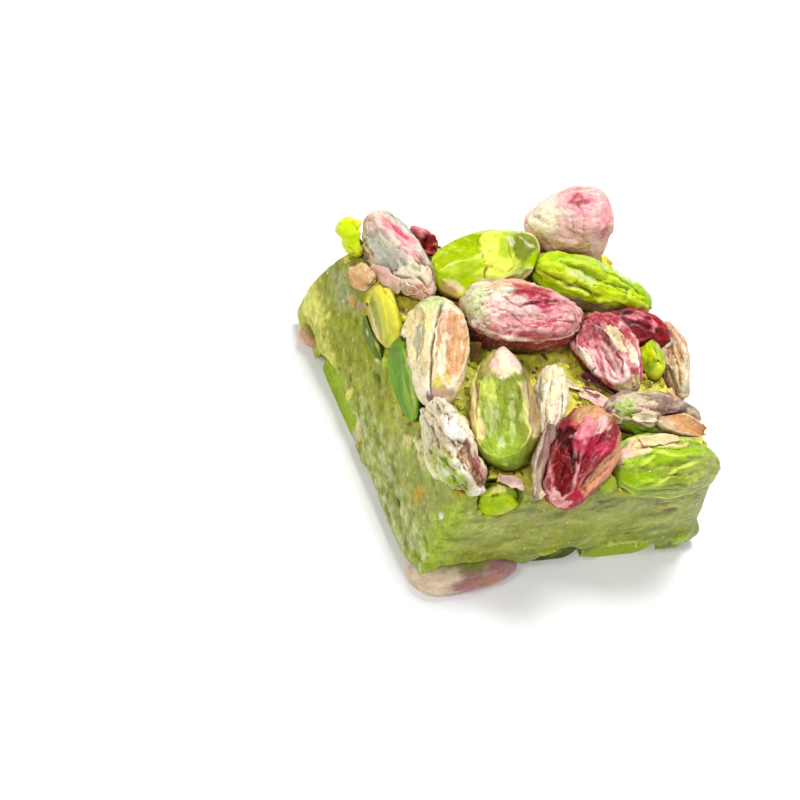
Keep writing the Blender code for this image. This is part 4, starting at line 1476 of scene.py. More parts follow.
SKIN_SHEETS = (
    Kernel("grey_skin_sheet", Slot.GREY, -118, -18, -30, (
        P(T.BEIGE, 0.5, 0.5, 100, 100, 0.7, 0.6),
        P(T.MAUVE, -0.4, 0.5, 100, 120, 0.6, 0.6),
    ), (), tone=T.GREY_BROWN, second=T.BEIGE, wrinkle=0.6, chips=0, voxel=0.12),
    Kernel("tan_skin_sheet", Slot.TAN, -16, -4, 8, (
        P(T.PEACH, 0.3, 0.8, 90, 120, 0.8),
    ), (), tone=T.PEACH, second=T.BEIGE, wrinkle=0.5, chips=0, voxel=0.12),
)


@dataclass(frozen=True)
class Stain:
    """A bit of nut or a mark in the paste: its place, its half sizes, and how far it stands out."""

    tone: Tone
    place: tuple[float, float, float]
    size: tuple[float, float, float]
    strength: float = 0.9
    lift: float = 0.0
    ragged: float = 0.35

    def gap(self, points: np.ndarray) -> np.ndarray:
        """How far each point lies from the bit's middle: 1 on its ragged edge.

        Args:
            points: The paste's points.

        Returns:
            The distances.
        """
        salt = int(abs(7.0 * self.place[0]) + abs(11.0 * self.place[1]) + 3.0 * self.place[2])
        round_it = np.linalg.norm((points - np.array(self.place)) / np.array(self.size), axis=1)
        return round_it + self.ragged * Grain(salt).layered(points, 0.8, 3)


S = Stain
STAINS = (
    S(T.LIME, (1.6, -19.3, 14.4), (1.6, 1.2, 0.9), 0.9, 0.5),
    S(T.PASTE_LIT, (-5.0, -19.6, 13.6), (2.4, 1.2, 0.7), 0.7, 0.2),
    S(T.PLUM, (1.6, -20.1, 12.3), (1.7, 0.8, 0.3), 0.6, -0.15),
    S(T.PLUM, (2.9, -20.2, 11.3), (1.4, 0.8, 0.25), 0.55, -0.15),
    S(T.PLUM, (11.4, -20.2, 10.6), (1.8, 0.8, 0.3), 0.6, -0.15),
    S(T.PLUM, (13.0, -20.3, 9.5), (1.6, 0.8, 0.3), 0.55, -0.15),
    S(T.BROWN, (-4.1, -20.4, 10.8), (0.8, 0.6, 0.25), 0.6, -0.1),
    S(T.BROWN, (-12.9, -20.1, 11.5), (0.5, 0.6, 0.3), 0.6, -0.1),
    S(T.MAUVE, (-8.9, -20.3, 11.2), (1.2, 0.6, 0.3), 0.5),
    S(T.LIME, (-2.4, -21.3, 4.0), (2.1, 1.0, 0.8), 0.6, 0.3),
    S(T.LIME_PALE, (8.2, -21.1, 3.9), (3.4, 1.2, 1.1), 0.5, 0.4),
    S(T.LEAF, (17.6, -20.8, 3.5), (1.4, 1.2, 1.2), 0.9, 0.5),
    S(T.LEAF_DEEP, (3.5, -21.2, 3.2), (2.2, 1.0, 0.7), 0.5, -0.2),
    S(T.ORANGE, (-20.2, -13.9, 8.5), (0.8, 1.1, 1.3), 0.6),
    S(T.WHITE, (-19.8, -18.7, 10.3), (0.5, 0.35, 0.35), 0.9, 0.1),
    S(T.LEAF_DEEP, (-19.8, -16.0, 11.2), (0.5, 0.4, 0.3), 0.8),
    S(T.LEAF_DEEP, (-20.0, -17.6, 8.2), (0.5, 0.35, 0.3), 0.8),
    S(T.LEAF_DEEP, (-20.4, -15.2, 6.4), (0.5, 0.4, 0.3), 0.7),
    S(T.PASTE_LIT, (-19.7, -12.6, 12.3), (0.9, 2.4, 1.3), 0.7, 0.2),
    S(T.IVORY, (-19.8, -9.4, 12.3), (0.9, 1.7, 1.2), 0.85, 0.55, 0.6),
    S(T.CREAM, (-20.0, -11.4, 11.6), (0.8, 1.1, 0.9), 0.8, 0.4, 0.6),
    S(T.CREAM, (-20.0, -7.6, 10.9), (0.8, 0.9, 0.8), 0.8, 0.3, 0.6),
    S(T.PEACH, (-19.7, 14.2, 12.2), (0.8, 1.2, 0.8), 0.9, 0.2, 0.5),
    S(T.MAUVE, (-19.5, 12.2, 12.9), (0.8, 0.8, 0.6), 0.8, 0.15, 0.5),
    S(T.LEAF_VIVID, (-19.4, 3.6, 12.4), (0.8, 0.8, 0.6), 0.9, 0.15),
    S(T.LEAF_DEEP, (-19.8, 2.8, 10.2), (0.8, 1.1, 0.7), 0.8, -0.1),
    S(T.IVORY, (-19.5, 4.8, 11.2), (0.6, 0.4, 0.4), 0.8, 0.1),
    S(T.YELLOW_PALE, (-20.8, 4.7, 4.6), (0.8, 0.6, 1.1), 0.9, 0.3),
    S(T.SAGE, (-19.6, 16.4, 11.4), (1.2, 3.6, 2.4), 0.5, 0.0, 0.6),
    S(T.YELLOW_PALE, (-21.0, 18.4, 6.0), (1.5, 4.4, 2.2), 0.75, 0.2, 0.6),
    S(T.YELLOW_PALE, (-21.0, 12.2, 4.2), (1.2, 3.6, 1.4), 0.6, 0.2, 0.6),
    S(T.CREAM, (-20.9, 0.2, 3.0), (0.8, 1.3, 1.0), 0.8, 0.2, 0.6),
)


@dataclass
class NougatPaste:
    """The block of paste: lumps on top, knife streaks and pits on its cut sides, drawn up to the kernels."""

    node: str = "nougat_slab"
    cling_reach: float = 0.9
    cling_gap: float = 0.04
    streak_depth: float = 0.1
    pit_depth: float = 0.28
    lump_height: float = 0.34
    band_top: tuple[float, float] = (5.5, 8.5)
    band_back: tuple[float, float] = (2.0, 8.0)
    search: float = 3.0
    far: float = 9.0
    seed: int = 401

    def frosting(self, points: np.ndarray) -> np.ndarray:
        """The fine noise of the frosted lower band on the left."""
        return Grain(self.seed + 67).layered(points * np.array([1.0, 0.6, 1.0]), 0.6, 3)

    def cling(self, surface: Surface, kernels: list[bpy.types.Object]) -> np.ndarray:
        """Draws the paste up to the kernels that it holds.

        Args:
            surface: The paste's surface.
            kernels: The kernels' pieces.

        Returns:
            How near a kernel each point lies, 1 where it touches.
        """
        tree = ground_of(kernels)
        found = [tree.find_nearest(Vector(point), self.search) for point in surface.points]
        gap = np.array([self.far if hit[0] is None else hit[3] for hit in found])
        goal = np.array([point if hit[0] is None else hit[0] for hit, point in zip(found, surface.points)])
        limit = self.cling_reach * (0.75 + 0.35 * Grain(self.seed).at(surface.points, 2.4))
        near = 1.0 - eased(0.35, 1.0, gap / limit)
        wish = np.minimum(gap, self.cling_gap)
        pull = near * np.clip((gap - wish) / np.maximum(gap, 1e-6), 0.0, 1.0)
        surface.points += (goal - surface.points) * pull[:, None]
        surface.store()
        return 1.0 - eased(0.0, 1.6, gap)

    def shape(self, surface: Surface, near: np.ndarray) -> dict[str, np.ndarray]:
        """Gives the paste its lumps, streaks and pits.

        Args:
            surface: The paste's surface.
            near: How near a kernel each point lies.

        Returns:
            The masks that the paint follows.
        """
        points, normals = surface.points, surface.normals()
        grain = Grain(self.seed)
        top = eased(0.45, 0.8, normals[:, 2]) * eased(8.0, 12.0, points[:, 2])
        under = eased(0.45, 0.8, -normals[:, 2])
        left = eased(0.5, 0.9, -normals[:, 0])
        front = eased(0.5, 0.9, -normals[:, 1])
        side = np.clip(1.0 - top - under, 0.0, 1.0)
        free = 1.0 - eased(0.55, 1.0, near)
        lumps = grain.layered(points, 2.2, 3)
        bits, second = Grain(self.seed + 7).cells(points, 1.5)
        knobs = eased(0.1, 0.5, second - bits) * (0.5 + 0.5 * grain.at(points, 4.0))
        run, rise = points @ np.array([0.0, 0.95, 0.3]), points @ np.array([0.0, -0.3, 0.95])
        drawn_left = np.stack([points[:, 0], rise, 0.2 * run], axis=1)
        drawn_front = drawn_out(points, 0.22)
        streak = Grain(self.seed + 11).creased(drawn_left, 1.5, 4) * left
        streak += Grain(self.seed + 12).creased(drawn_front, 1.5, 4) * (1.0 - left)
        warped = (drawn_left * left[:, None] + drawn_front * (1.0 - left)[:, None]) * 1.3
        pit_near, _ = Grain(self.seed + 19).cells(warped, 1.5)
        chance = Grain(self.seed + 23).at(points, 3.2)
        torn = pit_near + 0.16 * Grain(self.seed + 24).layered(points, 0.7, 2)
        pits = (1.0 - eased(0.08, 0.22, torn)) * eased(0.2, 0.6, chance)
        broad = Grain(self.seed + 8).layered(points, 3.4, 3)
        height = top * (0.5 * broad + self.lump_height * lumps + 0.4 * knobs) * free
        height += side * free * (0.14 * lumps - self.streak_depth * (1.0 - streak) * (0.5 + 0.5 * left))
        rough_edge = left * eased(-0.2, 0.6, grain.at(points, 6.0))
        height += rough_edge * free * 0.2 * (Grain(self.seed + 13).layered(points, 0.9, 2))
        height -= side * free * self.pit_depth * pits * (0.5 + 0.5 * left)
        height += under * 0.1 * lumps
        low = 1.0 - eased(*self.band_top, points[:, 2])
        height += 0.12 * left * low * (1.0 - eased(*self.band_back, points[:, 1])) * self.frosting(points)
        for stain in STAINS:
            height += stain.lift * (1.0 - eased(0.5, 1.1, stain.gap(points)))
        surface.push(height)
        top_side = eased(11.5, 14.0, points[:, 2])
        return {
            "top": top, "left": left, "front": front, "side": side, "top_side": top_side,
            "pits": pits, "streak": streak, "drawn": warped, "knobs": knobs,
        }

    def paint(self, surface: Surface, masks: dict[str, np.ndarray], near: np.ndarray) -> None:
        """Paints the paste: stains, grains, the lit lower band, a top painted lighter, painted highlights on
        crests, and painted shade in pits, grooves, dents and by the kernels.

        Args:
            surface: The paste's surface.
            masks: The masks of its shape.
            near: How near a kernel each point lies.
        """
        points = surface.points
        blotch = Grain(self.seed + 31)
        grain_of_front = blotch.at(points, 3.4)

        def laid(tone: Tone, mask: np.ndarray) -> None:
            """Lays a tone over the paint by a mask."""
            nonlocal colours
            colours = blended(colours, tone.colour(), np.clip(mask, 0.0, 1.0))

        colours = np.tile(Tone.PASTE.colour(), (len(points), 1))
        along, deep, high = points[:, 0], points[:, 1], points[:, 2]
        ragged = 3.0 * blotch.layered(points * np.array([0.5, 0.5, 1.0]), 4.0, 4)
        laid(Tone.PASTE_PALE, 0.6 * eased(-0.1, 0.7, blotch.layered(points, 5.0, 4)))
        others = np.clip(masks["side"] - masks["left"], 0.0, 1.0)
        laid(Tone.PASTE_SAGE, 0.8 * others * eased(5.0, 10.0, high + ragged))
        laid(Tone.PASTE_SAGE, 0.7 * masks["left"] * (1.0 - eased(-14.0, 0.0, deep + ragged)))
        # The top gets its own olive, painted lighter to stand for the light on it.
        laid(Tone.TOP_OLIVE_LIT, 0.9 * masks["top"])
        laid(Tone.PASTE_OLIVE, 0.45 * eased(0.0, 0.7, Grain(self.seed + 37).layered(points, 3.0, 4)))
        laid(Tone.PASTE_OLIVE, 0.7 * masks["left"] * eased(0.0, 12.0, deep + ragged))
        laid(Tone.PASTE_YELLOW, 0.55 * masks["left"] * eased(10.0, 16.0, deep + ragged - 0.8 * high))
        laid(Tone.PASTE_GREEN, 0.75 * others * (1.0 - eased(2.0, 8.0, high + ragged)))
        corner = np.hypot(along + 19.6, deep + 20.2) + 0.4 * ragged
        laid(Tone.PASTE_LIT, 0.65 * masks["side"] * (1.0 - eased(0.8, 3.4, corner)))
        grains, _ = Grain(self.seed + 41).cells(points, 0.9)
        pick = Grain(self.seed + 43).at(points, 1.4)
        laid(Tone.CREAM, 0.75 * (1.0 - eased(0.1, 0.3, grains)) * eased(0.25, 0.5, pick))
        laid(Tone.LEAF_VIVID, 0.6 * (1.0 - eased(0.15, 0.4, grains)) * eased(0.25, 0.5, -pick))
        skins, _ = Grain(self.seed + 47).cells(points * np.array([0.7, 0.7, 1.2]), 1.7)
        rare = Grain(self.seed + 53).at(points, 2.6)
        laid(Tone.MAUVE, 0.55 * (1.0 - eased(0.1, 0.3, skins)) * eased(0.3, 0.55, rare))
        laid(Tone.BROWN_TAN, 0.5 * (1.0 - eased(0.1, 0.28, skins)) * eased(0.25, 0.5, -rare))
        # Painted shade in the pits.
        laid(Tone.PASTE_DEEP, 0.6 * masks["pits"] * masks["side"])
        low = 1.0 - eased(*self.band_top, high + 0.7 * ragged)
        band = masks["left"] * low * (1.0 - eased(*self.band_back, deep)) * eased(1.0, 2.2, high)
        frost = self.frosting(points)
        laid(Tone.FROST, 0.7 * band * eased(-0.2, 0.5, frost))
        laid(Tone.PASTE_DEEP, 0.5 * band * eased(0.2, 0.6, -frost))
        # Painted shade in the knife grooves.
        groove = 1.0 - eased(0.05, 0.3, masks["streak"])
        laid(Tone.PASTE_DEEP, 0.5 * groove * masks["side"])
        laid(Tone.PLUM, 0.3 * groove * masks["front"] * eased(0.1, 0.5, grain_of_front))
        laid(Tone.PASTE_YELLOW, 0.6 * masks["knobs"] * masks["top"])
        stripes = Grain(self.seed + 61).layered(masks["drawn"], 0.9, 3)
        drawn_out = masks["side"] * (1.0 - 0.5 * masks["left"])
        laid(Tone.PASTE_PALE, 0.55 * eased(0.1, 0.6, stripes) * drawn_out)
        laid(Tone.PASTE_DEEP, 0.5 * eased(0.15, 0.7, -stripes) * drawn_out)
        for stain in STAINS:
            laid(stain.tone, stain.strength * (1.0 - eased(0.7, 1.15, stain.gap(points))))
        # Painted shade in the paste's dents and painted highlights on its crests.
        depth = surface.hollows(5)
        sunk = (0.42 - 0.22 * masks["top"]) * eased(0.015, 0.12, depth)
        colours = darkened(colours, sunk, PASTE_DENT_SHADE_TINT)
        laid(Tone.PASTE_PALE, 0.35 * eased(0.01, 0.1, -depth))
        # Painted shade on the upper paste next to the kernels.
        contact_shade = eased(0.66, 0.97, near + 0.12 * blotch.layered(points, 1.2, 2)) * masks["top_side"]
        colours = darkened(colours, contact_shade, PASTE_CONTACT_SHADE_TINT)
        speckle = 0.2 + 0.12 * masks["left"]
        colours *= (1.0 + speckle * Grain(self.seed + 59).layered(points, 0.6, 3))[:, None]
        gloss = FINISHES[Slot.NOUGAT].rough + 0.12 * blotch.at(points, 3.0) - 0.1 * masks["front"]
        surface.record(colours, np.clip(gloss, 0.15, 0.8), points)

    def build(self, kit: ShaderKit, kernels: list[bpy.types.Object]) -> bpy.types.Object:
        """Builds the paste's piece.

        Args:
            kit: The finishes' materials.
            kernels: The kernels that it holds.

        Returns:
            The piece.
        """
        surface = Surface(remeshed(merged_copy(self.node, 180.0), SLAB_VOXEL, 0))
        surface.soften(6)
        near = self.cling(surface, kernels)
        masks = self.shape(surface, near)
        self.paint(surface, masks, near)
        clear = 1.0 - eased(0.8, 0.97, near)
        for name, mask in (("crumbed", masks["top"] * clear), ("cut_side", masks["side"] * clear)):
            keep(surface.mesh, name, mask)
        surface.mesh.materials.append(kit.materials[Slot.NOUGAT])
        made = linked(f"{self.node}_look", surface.mesh)
        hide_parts(self.node)
        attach(made, "root")
        return made


@dataclass(frozen=True)
class Crumbs:
    """A kind of crumb, scattered by Geometry Nodes where a mask allows. Sizes are in millimetres."""

    name: str
    slot: Slot
    mask: str
    per_square: float
    least: float
    most: float
    flat: float
    first: Tone
    second: Tone
    seed: int
    wobble_scale: float = 1.7
    wobble_depth: float = 0.9
    least_shape: tuple[float, float, float] = (0.6, 0.6, 0.8)
    most_shape: tuple[float, float, float] = (1.4, 1.1, 1.2)
    lean: float = 0.35

    def tree(self) -> bpy.types.NodeTree:
        """Builds the node tree that scatters the crumbs.

        Returns:
            The tree, with named inputs for its sizes.
        """
        tree = bpy.data.node_groups.new(self.name, "GeometryNodeTree")
        for label, kind in (
            ("Geometry", "NodeSocketGeometry"), ("Density", "NodeSocketFloat"),
            ("Least Size", "NodeSocketFloat"), ("Most Size", "NodeSocketFloat"),
            ("Flatness", "NodeSocketFloat"), ("Material", "NodeSocketMaterial"),
        ):
            tree.interface.new_socket(label, in_out="INPUT", socket_type=kind)
        tree.interface.new_socket("Geometry", in_out="OUTPUT", socket_type="NodeSocketGeometry")

        def node(
            kind: str, given: dict[str | int, object], **settings: object
        ) -> bpy.types.bpy_prop_collection:
            """A new fed node's outputs."""
            return wired(tree, kind, given, **settings).outputs

        start = node("NodeGroupInput", {})
        mask = node("GeometryNodeInputNamedAttribute", {"Name": self.mask}, data_type="FLOAT")
        spots = node("GeometryNodeDistributePointsOnFaces", {
            "Mesh": start["Geometry"], "Density": maths(tree, "MULTIPLY", mask[0], start["Density"]),
            "Seed": self.seed,
        }, distribute_method="RANDOM")
        lump = node("GeometryNodeMeshCube", {"Size": (1.0, 1.0, 1.0)})
        rounded = node("GeometryNodeSubdivisionSurface", {"Mesh": lump["Mesh"], "Level": 1})
        wobble = node("ShaderNodeTexNoise", {"Scale": self.wobble_scale})
        centred = node("ShaderNodeVectorMath", {0: wobble["Color"], 1: (0.5, 0.5, 0.5)}, operation="SUBTRACT")
        strong = node("ShaderNodeVectorMath", {0: centred[0], "Scale": self.wobble_depth}, operation="SCALE")
        dented = node("GeometryNodeSetPosition", {"Geometry": rounded["Mesh"], "Offset": strong[0]})
        size = node("FunctionNodeRandomValue", {
            2: start["Least Size"], 3: start["Most Size"], "Seed": self.seed + 1,
        }, data_type="FLOAT")
        lengths = node("FunctionNodeRandomValue", {
            0: self.least_shape, 1: self.most_shape, "Seed": self.seed + 2,
        }, data_type="FLOAT_VECTOR")
        low = node("ShaderNodeCombineXYZ", {0: 1.0, 1: 1.0, 2: start["Flatness"]})
        pressed = node("ShaderNodeVectorMath", {0: lengths[0], 1: low[0]}, operation="MULTIPLY")
        scale = node("ShaderNodeVectorMath", {0: pressed[0], "Scale": size[1]}, operation="SCALE")
        placed = node("GeometryNodeInstanceOnPoints", {
            "Points": spots["Points"], "Instance": dented["Geometry"],
            "Rotation": spots["Rotation"], "Scale": scale[0],
        })
        spin = node("FunctionNodeRandomValue", {
            0: (-self.lean, -self.lean, 0.0), 1: (self.lean, self.lean, 2.0 * math.pi), "Seed": self.seed + 3,
        }, data_type="FLOAT_VECTOR")
        turned = node("GeometryNodeRotateInstances", {"Instances": placed["Instances"], "Rotation": spin[0]})
        pick = node("FunctionNodeRandomValue", {"Seed": self.seed + 4}, data_type="FLOAT")
        blend = node("ShaderNodeMix", {
            "Factor": pick[1], "A": (*self.first.colour(), 1.0), "B": (*self.second.colour(), 1.0),
        }, data_type="RGBA")
        painted = node("GeometryNodeStoreNamedAttribute", {
            "Geometry": turned["Instances"], "Name": PAINT, "Value": blend["Result"],
        }, data_type="FLOAT_COLOR", domain="INSTANCE")
        polished = node("GeometryNodeStoreNamedAttribute", {
            "Geometry": painted["Geometry"], "Name": GLOSS, "Value": FINISHES[self.slot].rough,
        }, data_type="FLOAT", domain="INSTANCE")
        real = node("GeometryNodeRealizeInstances", {"Geometry": polished["Geometry"]})
        dressed = node("GeometryNodeSetMaterial", {
            "Geometry": real["Geometry"], "Material": start["Material"],
        })
        node("NodeGroupOutput", {"Geometry": dressed["Geometry"]})
        return tree

    def scatter(self, ground: bpy.types.Mesh, kit: ShaderKit) -> bpy.types.Object:
        """Scatters the crumbs over a mesh.

        Args:
            ground: The mesh that they lie on, which carries the mask.
            kit: The finishes' materials.

        Returns:
            The crumbs as one plain piece.
        """
        base = linked("crumb_ground", ground)
        tree = self.tree()
        crumbs = base.modifiers.new("crumbs", "NODES")
        crumbs.node_group = tree
        given = {
            "Density": self.per_square / MM**2,
            "Least Size": self.least * MM,
            "Most Size": self.most * MM,
            "Flatness": self.flat,
            "Material": kit.loose[self.slot],
        }
        for item in tree.interface.items_tree:
            if item.in_out == "INPUT" and item.name in given:
                crumbs[item.identifier] = given[item.name]
        mesh = mesh_of(base)
        base.modifiers.remove(crumbs)
        bpy.data.objects.remove(base)
        made = linked(self.name, mesh)
        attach(made, "root")
        return made


@dataclass(frozen=True)
class Flake:
    """A scrap of papery skin laid from one point to another, in millimetres."""

    start: tuple[float, float, float]
    end: tuple[float, float, float]
    width: float
    tone: Tone
    curl: float = 0.35
    edge: Tone = Tone.CREAM
    lift: float = 0.08


@dataclass
class SkinFlakes:
    """Scraps of torn skin of one finish that lie on the kernels and the paste."""

    name: str
    slot: Slot
    flakes: tuple[Flake, ...]
    thickness: float = 0.1
    cells: tuple[int, int] = (22, 12)
    seed: int = 601

    def sheet(self, flake: Flake, place: int, ground: BVHTree) -> tuple[np.ndarray, np.ndarray]:
        """One flake's grid of points, laid on what is under it.

        Args:
            flake: The flake.
            place: Its place in the list, which picks its noise.
            ground: The surfaces that it can lie on.

        Returns:
            Its points and its colours.
        """
        head, tail = np.array(flake.start), np.array(flake.end)
        run = tail - head
        length = np.linalg.norm(run)
        ahead = run / length
        middle = Vector((head + tail) / 2.0)
        hit = ground.find_nearest(middle)
        up = np.array(hit[1])
        side = np.cross(up, ahead)
        side /= np.linalg.norm(side)
        long_cells, wide_cells = self.cells
        along, across = np.meshgrid(
            np.linspace(-1, 1, long_cells), np.linspace(-1, 1, wide_cells), indexing="ij"
        )
        along, across = along.ravel(), across.ravel()
        apart = np.full(len(along), 7.0 * place)
        flat = np.stack([along * length / 2.0, across * flake.width / 2.0, apart], 1)
        grain = Grain(self.seed + 5 * place)
        taper = 1.0 - 0.45 * np.abs(along) ** 2.5 + 0.3 * grain.layered(flat * np.array([1, 0, 1]), 1.2, 3)
        reach = 1.0 + 0.12 * grain.layered(flat * np.array([0, 1, 1]), 0.8, 2)
        points = (
            (head + tail) / 2.0
            + (along * reach * length / 2.0)[:, None] * ahead
            + (across * taper * flake.width / 2.0)[:, None] * side
        )
        rise = flake.lift + flake.curl * np.abs(across) ** 2.2 * (0.6 + 0.5 * grain.at(flat, 2.0))
        rise += 0.4 * flake.curl * np.abs(along) ** 3 + 0.17 * grain.layered(flat, 0.8, 3)
        settled = []
        for point, height in zip(points, rise):
            spot = ground.find_nearest(Vector(point))
            settled.append(np.array(spot[0]) + np.array(spot[1]) * max(height, 0.05))
        settled = np.array(settled)
        grid = settled.reshape(long_cells, wide_cells, 3)
        for _ in range(2):
            grid[1:-1] = (grid[:-2] + 2 * grid[1:-1] + grid[2:]) / 4.0
            grid[:, 1:-1] = (grid[:, :-2] + 2 * grid[:, 1:-1] + grid[:, 2:]) / 4.0
        rim = eased(0.72, 1.0, np.maximum(np.abs(along), np.abs(across)))
        shade = 1.0 + 0.4 * grain.layered(flat * np.array([0.5, 1.2, 1.0]), 0.7, 3)
        colours = flake.tone.colour() * shade[:, None]
        colours = blended(colours, flake.edge.colour(), 0.75 * rim)
        return grid.reshape(-1, 3), colours

    def build(self, kit: ShaderKit, ground: BVHTree) -> bpy.types.Object:
        """Builds the flakes as one piece.

        Args:
            kit: The finishes' materials.
            ground: The surfaces that they can lie on.

        Returns:
            The piece.
        """
        long_cells, wide_cells = self.cells
        corners, colours, faces = [], [], []
        for place, flake in enumerate(self.flakes):
            points, tones = self.sheet(flake, place, ground)
            first = place * long_cells * wide_cells
            for row in range(long_cells - 1):
                for column in range(wide_cells - 1):
                    spot = first + row * wide_cells + column
                    faces.append((spot, spot + wide_cells, spot + wide_cells + 1, spot + 1))
            corners.append(points)
            colours.append(tones)
        mesh = bpy.data.meshes.new(self.name)
        mesh.from_pydata((np.vstack(corners) * MM).tolist(), [], faces)
        mesh.polygons.foreach_set("use_smooth", [True] * len(faces))
        surface = Surface(mesh)
        rough = np.full(len(surface.points), FINISHES[self.slot].rough)
        surface.record(np.vstack(colours), rough, surface.points)
        mesh.materials.append(kit.loose[self.slot])
        draft = linked("flake_draft", mesh)
        wall = draft.modifiers.new("wall", "SOLIDIFY")
        wall.thickness = self.thickness * MM
        wall.offset = 1.0
        thick = mesh_of(draft)
        bpy.data.objects.remove(draft)
        made = linked(self.name, thick)
        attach(made, "root")
        return made


def dusty_ground(pieces: list[bpy.types.Object]) -> bpy.types.Mesh:
    """One mesh of several pieces' faces, with a mask of the parts that look up.

    Args:
        pieces: The pieces.

    Returns:
        The mesh, with the attribute dusty.
    """
    shell = bmesh.new()
    for piece in pieces:
        shell.from_mesh(piece.data)
    mesh = bpy.data.meshes.new("dusty_ground")
    shell.to_mesh(mesh)
    shell.free()
    surface = Surface(mesh)
    mask = eased(0.1, 0.6, surface.normals()[:, 2]) * eased(0.0, 0.4, Grain(91).at(surface.points, 3.0))
    keep(mesh, "dusty", mask)
    return mesh


def ground_of(pieces: list[bpy.types.Object]) -> BVHTree:
    """A search tree of several pieces' faces, in millimetres.

    Args:
        pieces: The pieces.

    Returns:
        The tree.
    """
    corners, faces, count = [], [], 0
    for piece in pieces:
        points = Surface(piece.data).points
        corners.append(points)
        faces += [[corner + count for corner in face.vertices] for face in piece.data.polygons]
        count += len(points)
    return BVHTree.FromPolygons(np.vstack(corners).tolist(), faces)


CRUMBS = (
    Crumbs("paste_crumbs", Slot.NOUGAT, "crumbed", 0.35, 0.5, 1.5, 0.7, T.PASTE_OLIVE, T.PASTE_YELLOW, 11),
    Crumbs("nut_crumbs", Slot.CREAM, "crumbed", 0.22, 0.25, 0.8, 0.8, T.IVORY, T.LIME_PALE, 12),
    Crumbs("skin_crumbs", Slot.TAN, "crumbed", 0.2, 0.35, 1.0, 0.35, T.BROWN_TAN, T.BROWN, 13),
    Crumbs("side_grains", Slot.CREAM, "cut_side", 0.1, 0.15, 0.4, 0.3, T.LIME_PALE, T.CREAM, 14),
    Crumbs("kernel_dust", Slot.CREAM, "dusty", 0.16, 0.1, 0.26, 0.45, T.CREAM, T.IVORY, 15),
)

SKIN_FLAKES = (
    SkinFlakes("cream_flakes", Slot.CREAM, (
        Flake((5.9, -16.2, 18.2), (11.3, -15.9, 18.3), 2.2, T.CREAM, 0.3),
        Flake((-17.2, 15.8, 16.2), (-15.6, 11.6, 17.4), 1.8, T.PINK_PALE, 0.5, T.IVORY),
        Flake((-15.2, 11.8, 17.9), (-13.2, 9.2, 17.4), 2.0, T.PINK_PALE, 0.5, T.IVORY),
        Flake((6.8, -12.0, 18.2), (10.2, -12.6, 18.2), 1.3, T.IVORY, 0.4),
        Flake((-13.8, -17.4, 15.4), (-10.6, -18.6, 15.0), 1.4, T.PINK_PALE, 0.5),
        Flake((2.0, -3.2, 15.0), (4.4, -5.5, 15.2), 1.4, T.IVORY, 0.5),
    )),
    SkinFlakes("tan_flakes", Slot.TAN, (
        Flake((2.2, -9.6, 17.0), (5.4, -12.6, 17.4), 1.5, T.PEACH, 0.3, T.IVORY),
        Flake((3.6, -5.6, 15.2), (7.6, -8.2, 15.6), 2.2, T.PINK_PALE, 0.5),
        Flake((-7.4, 11.4, 14.8), (-6.2, 9.6, 15.6), 1.5, T.BRICK, 0.3, T.TAN),
        Flake((-10.8, 3.4, 16.5), (-8.4, 0.6, 16.0), 1.4, T.BROWN_TAN, 0.4, T.TAN),
        Flake((16.8, -6.4, 15.6), (19.0, -10.6, 15.0), 1.6, T.TAN, 0.3),
    ), seed=631),
    SkinFlakes("plum_flakes", Slot.RED, (
        Flake((5.4, -2.4, 15.2), (7.2, -4.6, 15.6), 1.6, T.PLUM, 0.6, T.MAUVE),
        Flake((7.0, -4.6, 15.4), (8.6, -7.0, 15.8), 1.8, T.MAROON, 0.6, T.MAUVE),
        Flake((4.4, -5.0, 15.2), (6.2, -6.2, 15.4), 1.2, T.PLUM, 0.5, T.BROWN_TAN),
    ), seed=661),
)


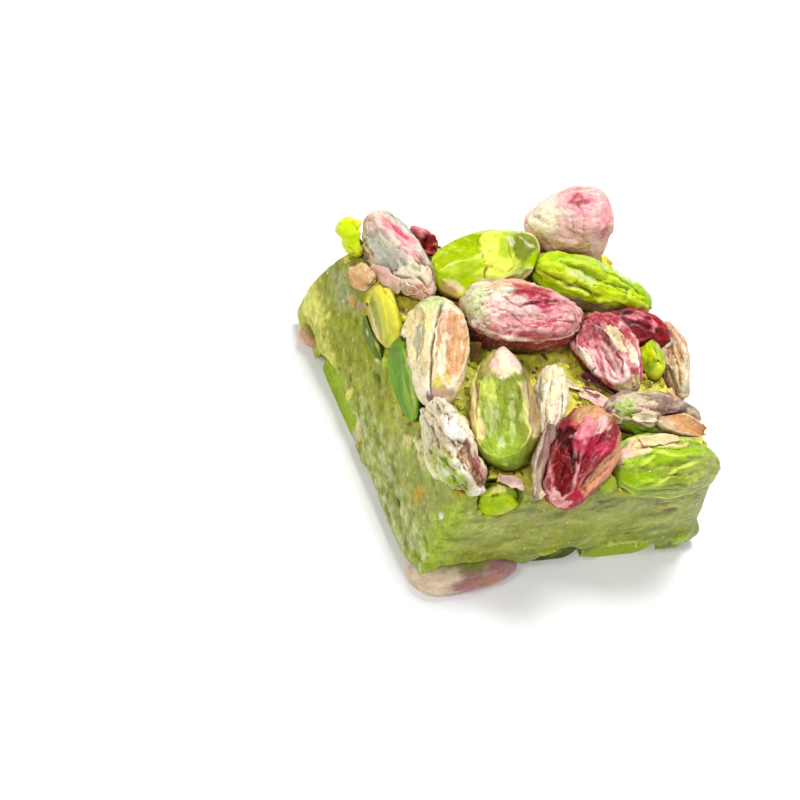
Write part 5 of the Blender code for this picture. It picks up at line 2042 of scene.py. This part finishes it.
@dataclass(frozen=True)
class Studio:
    """A plain pale floor, soft lights, and the camera at the angle of the view."""

    eye: tuple[float, float, float] = (-140.57, -135.55, 179.4)
    aim: tuple[float, float, float] = (-16.44, 0.87, 8.0)
    roll: float = 28.29
    focal_pixels: float = 2039.9
    image_side: float = 800.0
    sensor: float = 36.0
    floor_tone: tuple[float, float, float, float] = (0.77, 0.77, 0.78, 1.0)
    floor_glow: float = 0.19
    room_light: float = 0.32
    lamps: tuple = (
        ("key", (0.08, 0.2, 0.52), 0.24, 3.4),
        ("fill", (-0.45, -0.15, 0.4), 0.14, 1.3),
        ("front", (0.05, -0.5, 0.25), 0.2, 0.6),
    )

    def camera(self) -> None:
        """Sets the camera."""
        data = bpy.data.cameras.new("view")
        data.sensor_width = self.sensor
        data.lens = self.focal_pixels / self.image_side * self.sensor
        data.clip_start = 0.01
        data.clip_end = 5.0
        made = bpy.data.objects.new("view", data)
        bpy.context.scene.collection.objects.link(made)
        eye, aim = Vector(self.eye) * MM, Vector(self.aim) * MM
        turn = (aim - eye).to_track_quat("-Z", "Y").to_matrix().to_4x4()
        made.matrix_world = Matrix.Translation(eye) @ turn @ Matrix.Rotation(math.radians(self.roll), 4, "Z")
        bpy.context.scene.camera = made

    def lamp(self, name: str, place: tuple[float, float, float], side: float, power: float) -> None:
        """Adds a square soft light that faces the bar.

        Args:
            name: The light's name.
            place: Where it hangs, in metres.
            side: The length of its side, in metres.
            power: Its power in watts.
        """
        data = bpy.data.lights.new(name, "AREA")
        data.size = side
        data.energy = power
        made = bpy.data.objects.new(name, data)
        bpy.context.scene.collection.objects.link(made)
        made.location = place
        made.rotation_euler = (Vector((0, 0, 0.01)) - Vector(place)).to_track_quat("-Z", "Y").to_euler()

    def build(self) -> None:
        """Builds the floor, the lights, the world's light and the camera."""
        shell = bmesh.new()
        bmesh.ops.create_grid(shell, x_segments=1, y_segments=1, size=2.5)
        mesh = bpy.data.meshes.new("floor")
        shell.to_mesh(mesh)
        shell.free()
        floor = linked("floor", mesh)
        material = bpy.data.materials.new("pale_floor")
        material.use_nodes = True
        white = (1.0, 1.0, 1.0, 1.0)
        fed(material.node_tree, material.node_tree.nodes["Principled BSDF"], {
            "Base Color": self.floor_tone, "Roughness": 0.9, "Specular IOR Level": 0.1,
            "Emission Color": white, "Emission Strength": self.floor_glow,
        })
        mesh.materials.append(material)
        world = bpy.data.worlds.new("soft_room")
        bpy.context.scene.world = world
        world.use_nodes = True
        light = world.node_tree.nodes["Background"]
        fed(world.node_tree, light, {"Color": white, "Strength": self.room_light})
        for lamp in self.lamps:
            self.lamp(*lamp)
        bpy.context.scene.view_settings.view_transform = "Standard"
        self.camera()


def main() -> None:
    """Builds the bar's pieces in order and reports each."""
    logging.basicConfig(level=logging.INFO, format="%(name)s: %(message)s")
    kit = ShaderKit()
    kit.build()
    kernels = []
    for kernel in TOP_KERNELS + SLICED_KERNELS + LOWER_KERNELS + SKIN_SHEETS:
        piece = kernel.build(kit)
        kernels.append(piece)
        log.info("%s: %d faces", piece.name, len(piece.data.polygons))
    paste = NougatPaste().build(kit, kernels)
    log.info("%s: %d faces", paste.name, len(paste.data.polygons))
    ground = ground_of(kernels + [paste])
    top = dusty_ground(kernels[:len(TOP_KERNELS)])
    loose = [crumbs.scatter((top if crumbs.mask == "dusty" else paste.data).copy(), kit) for crumbs in CRUMBS]
    loose += [flakes.build(kit, ground) for flakes in SKIN_FLAKES]
    for piece in loose:
        log.info("%s: %d faces", piece.name, len(piece.data.polygons))
    Studio().build()


if __name__ == "__main__":
    main()
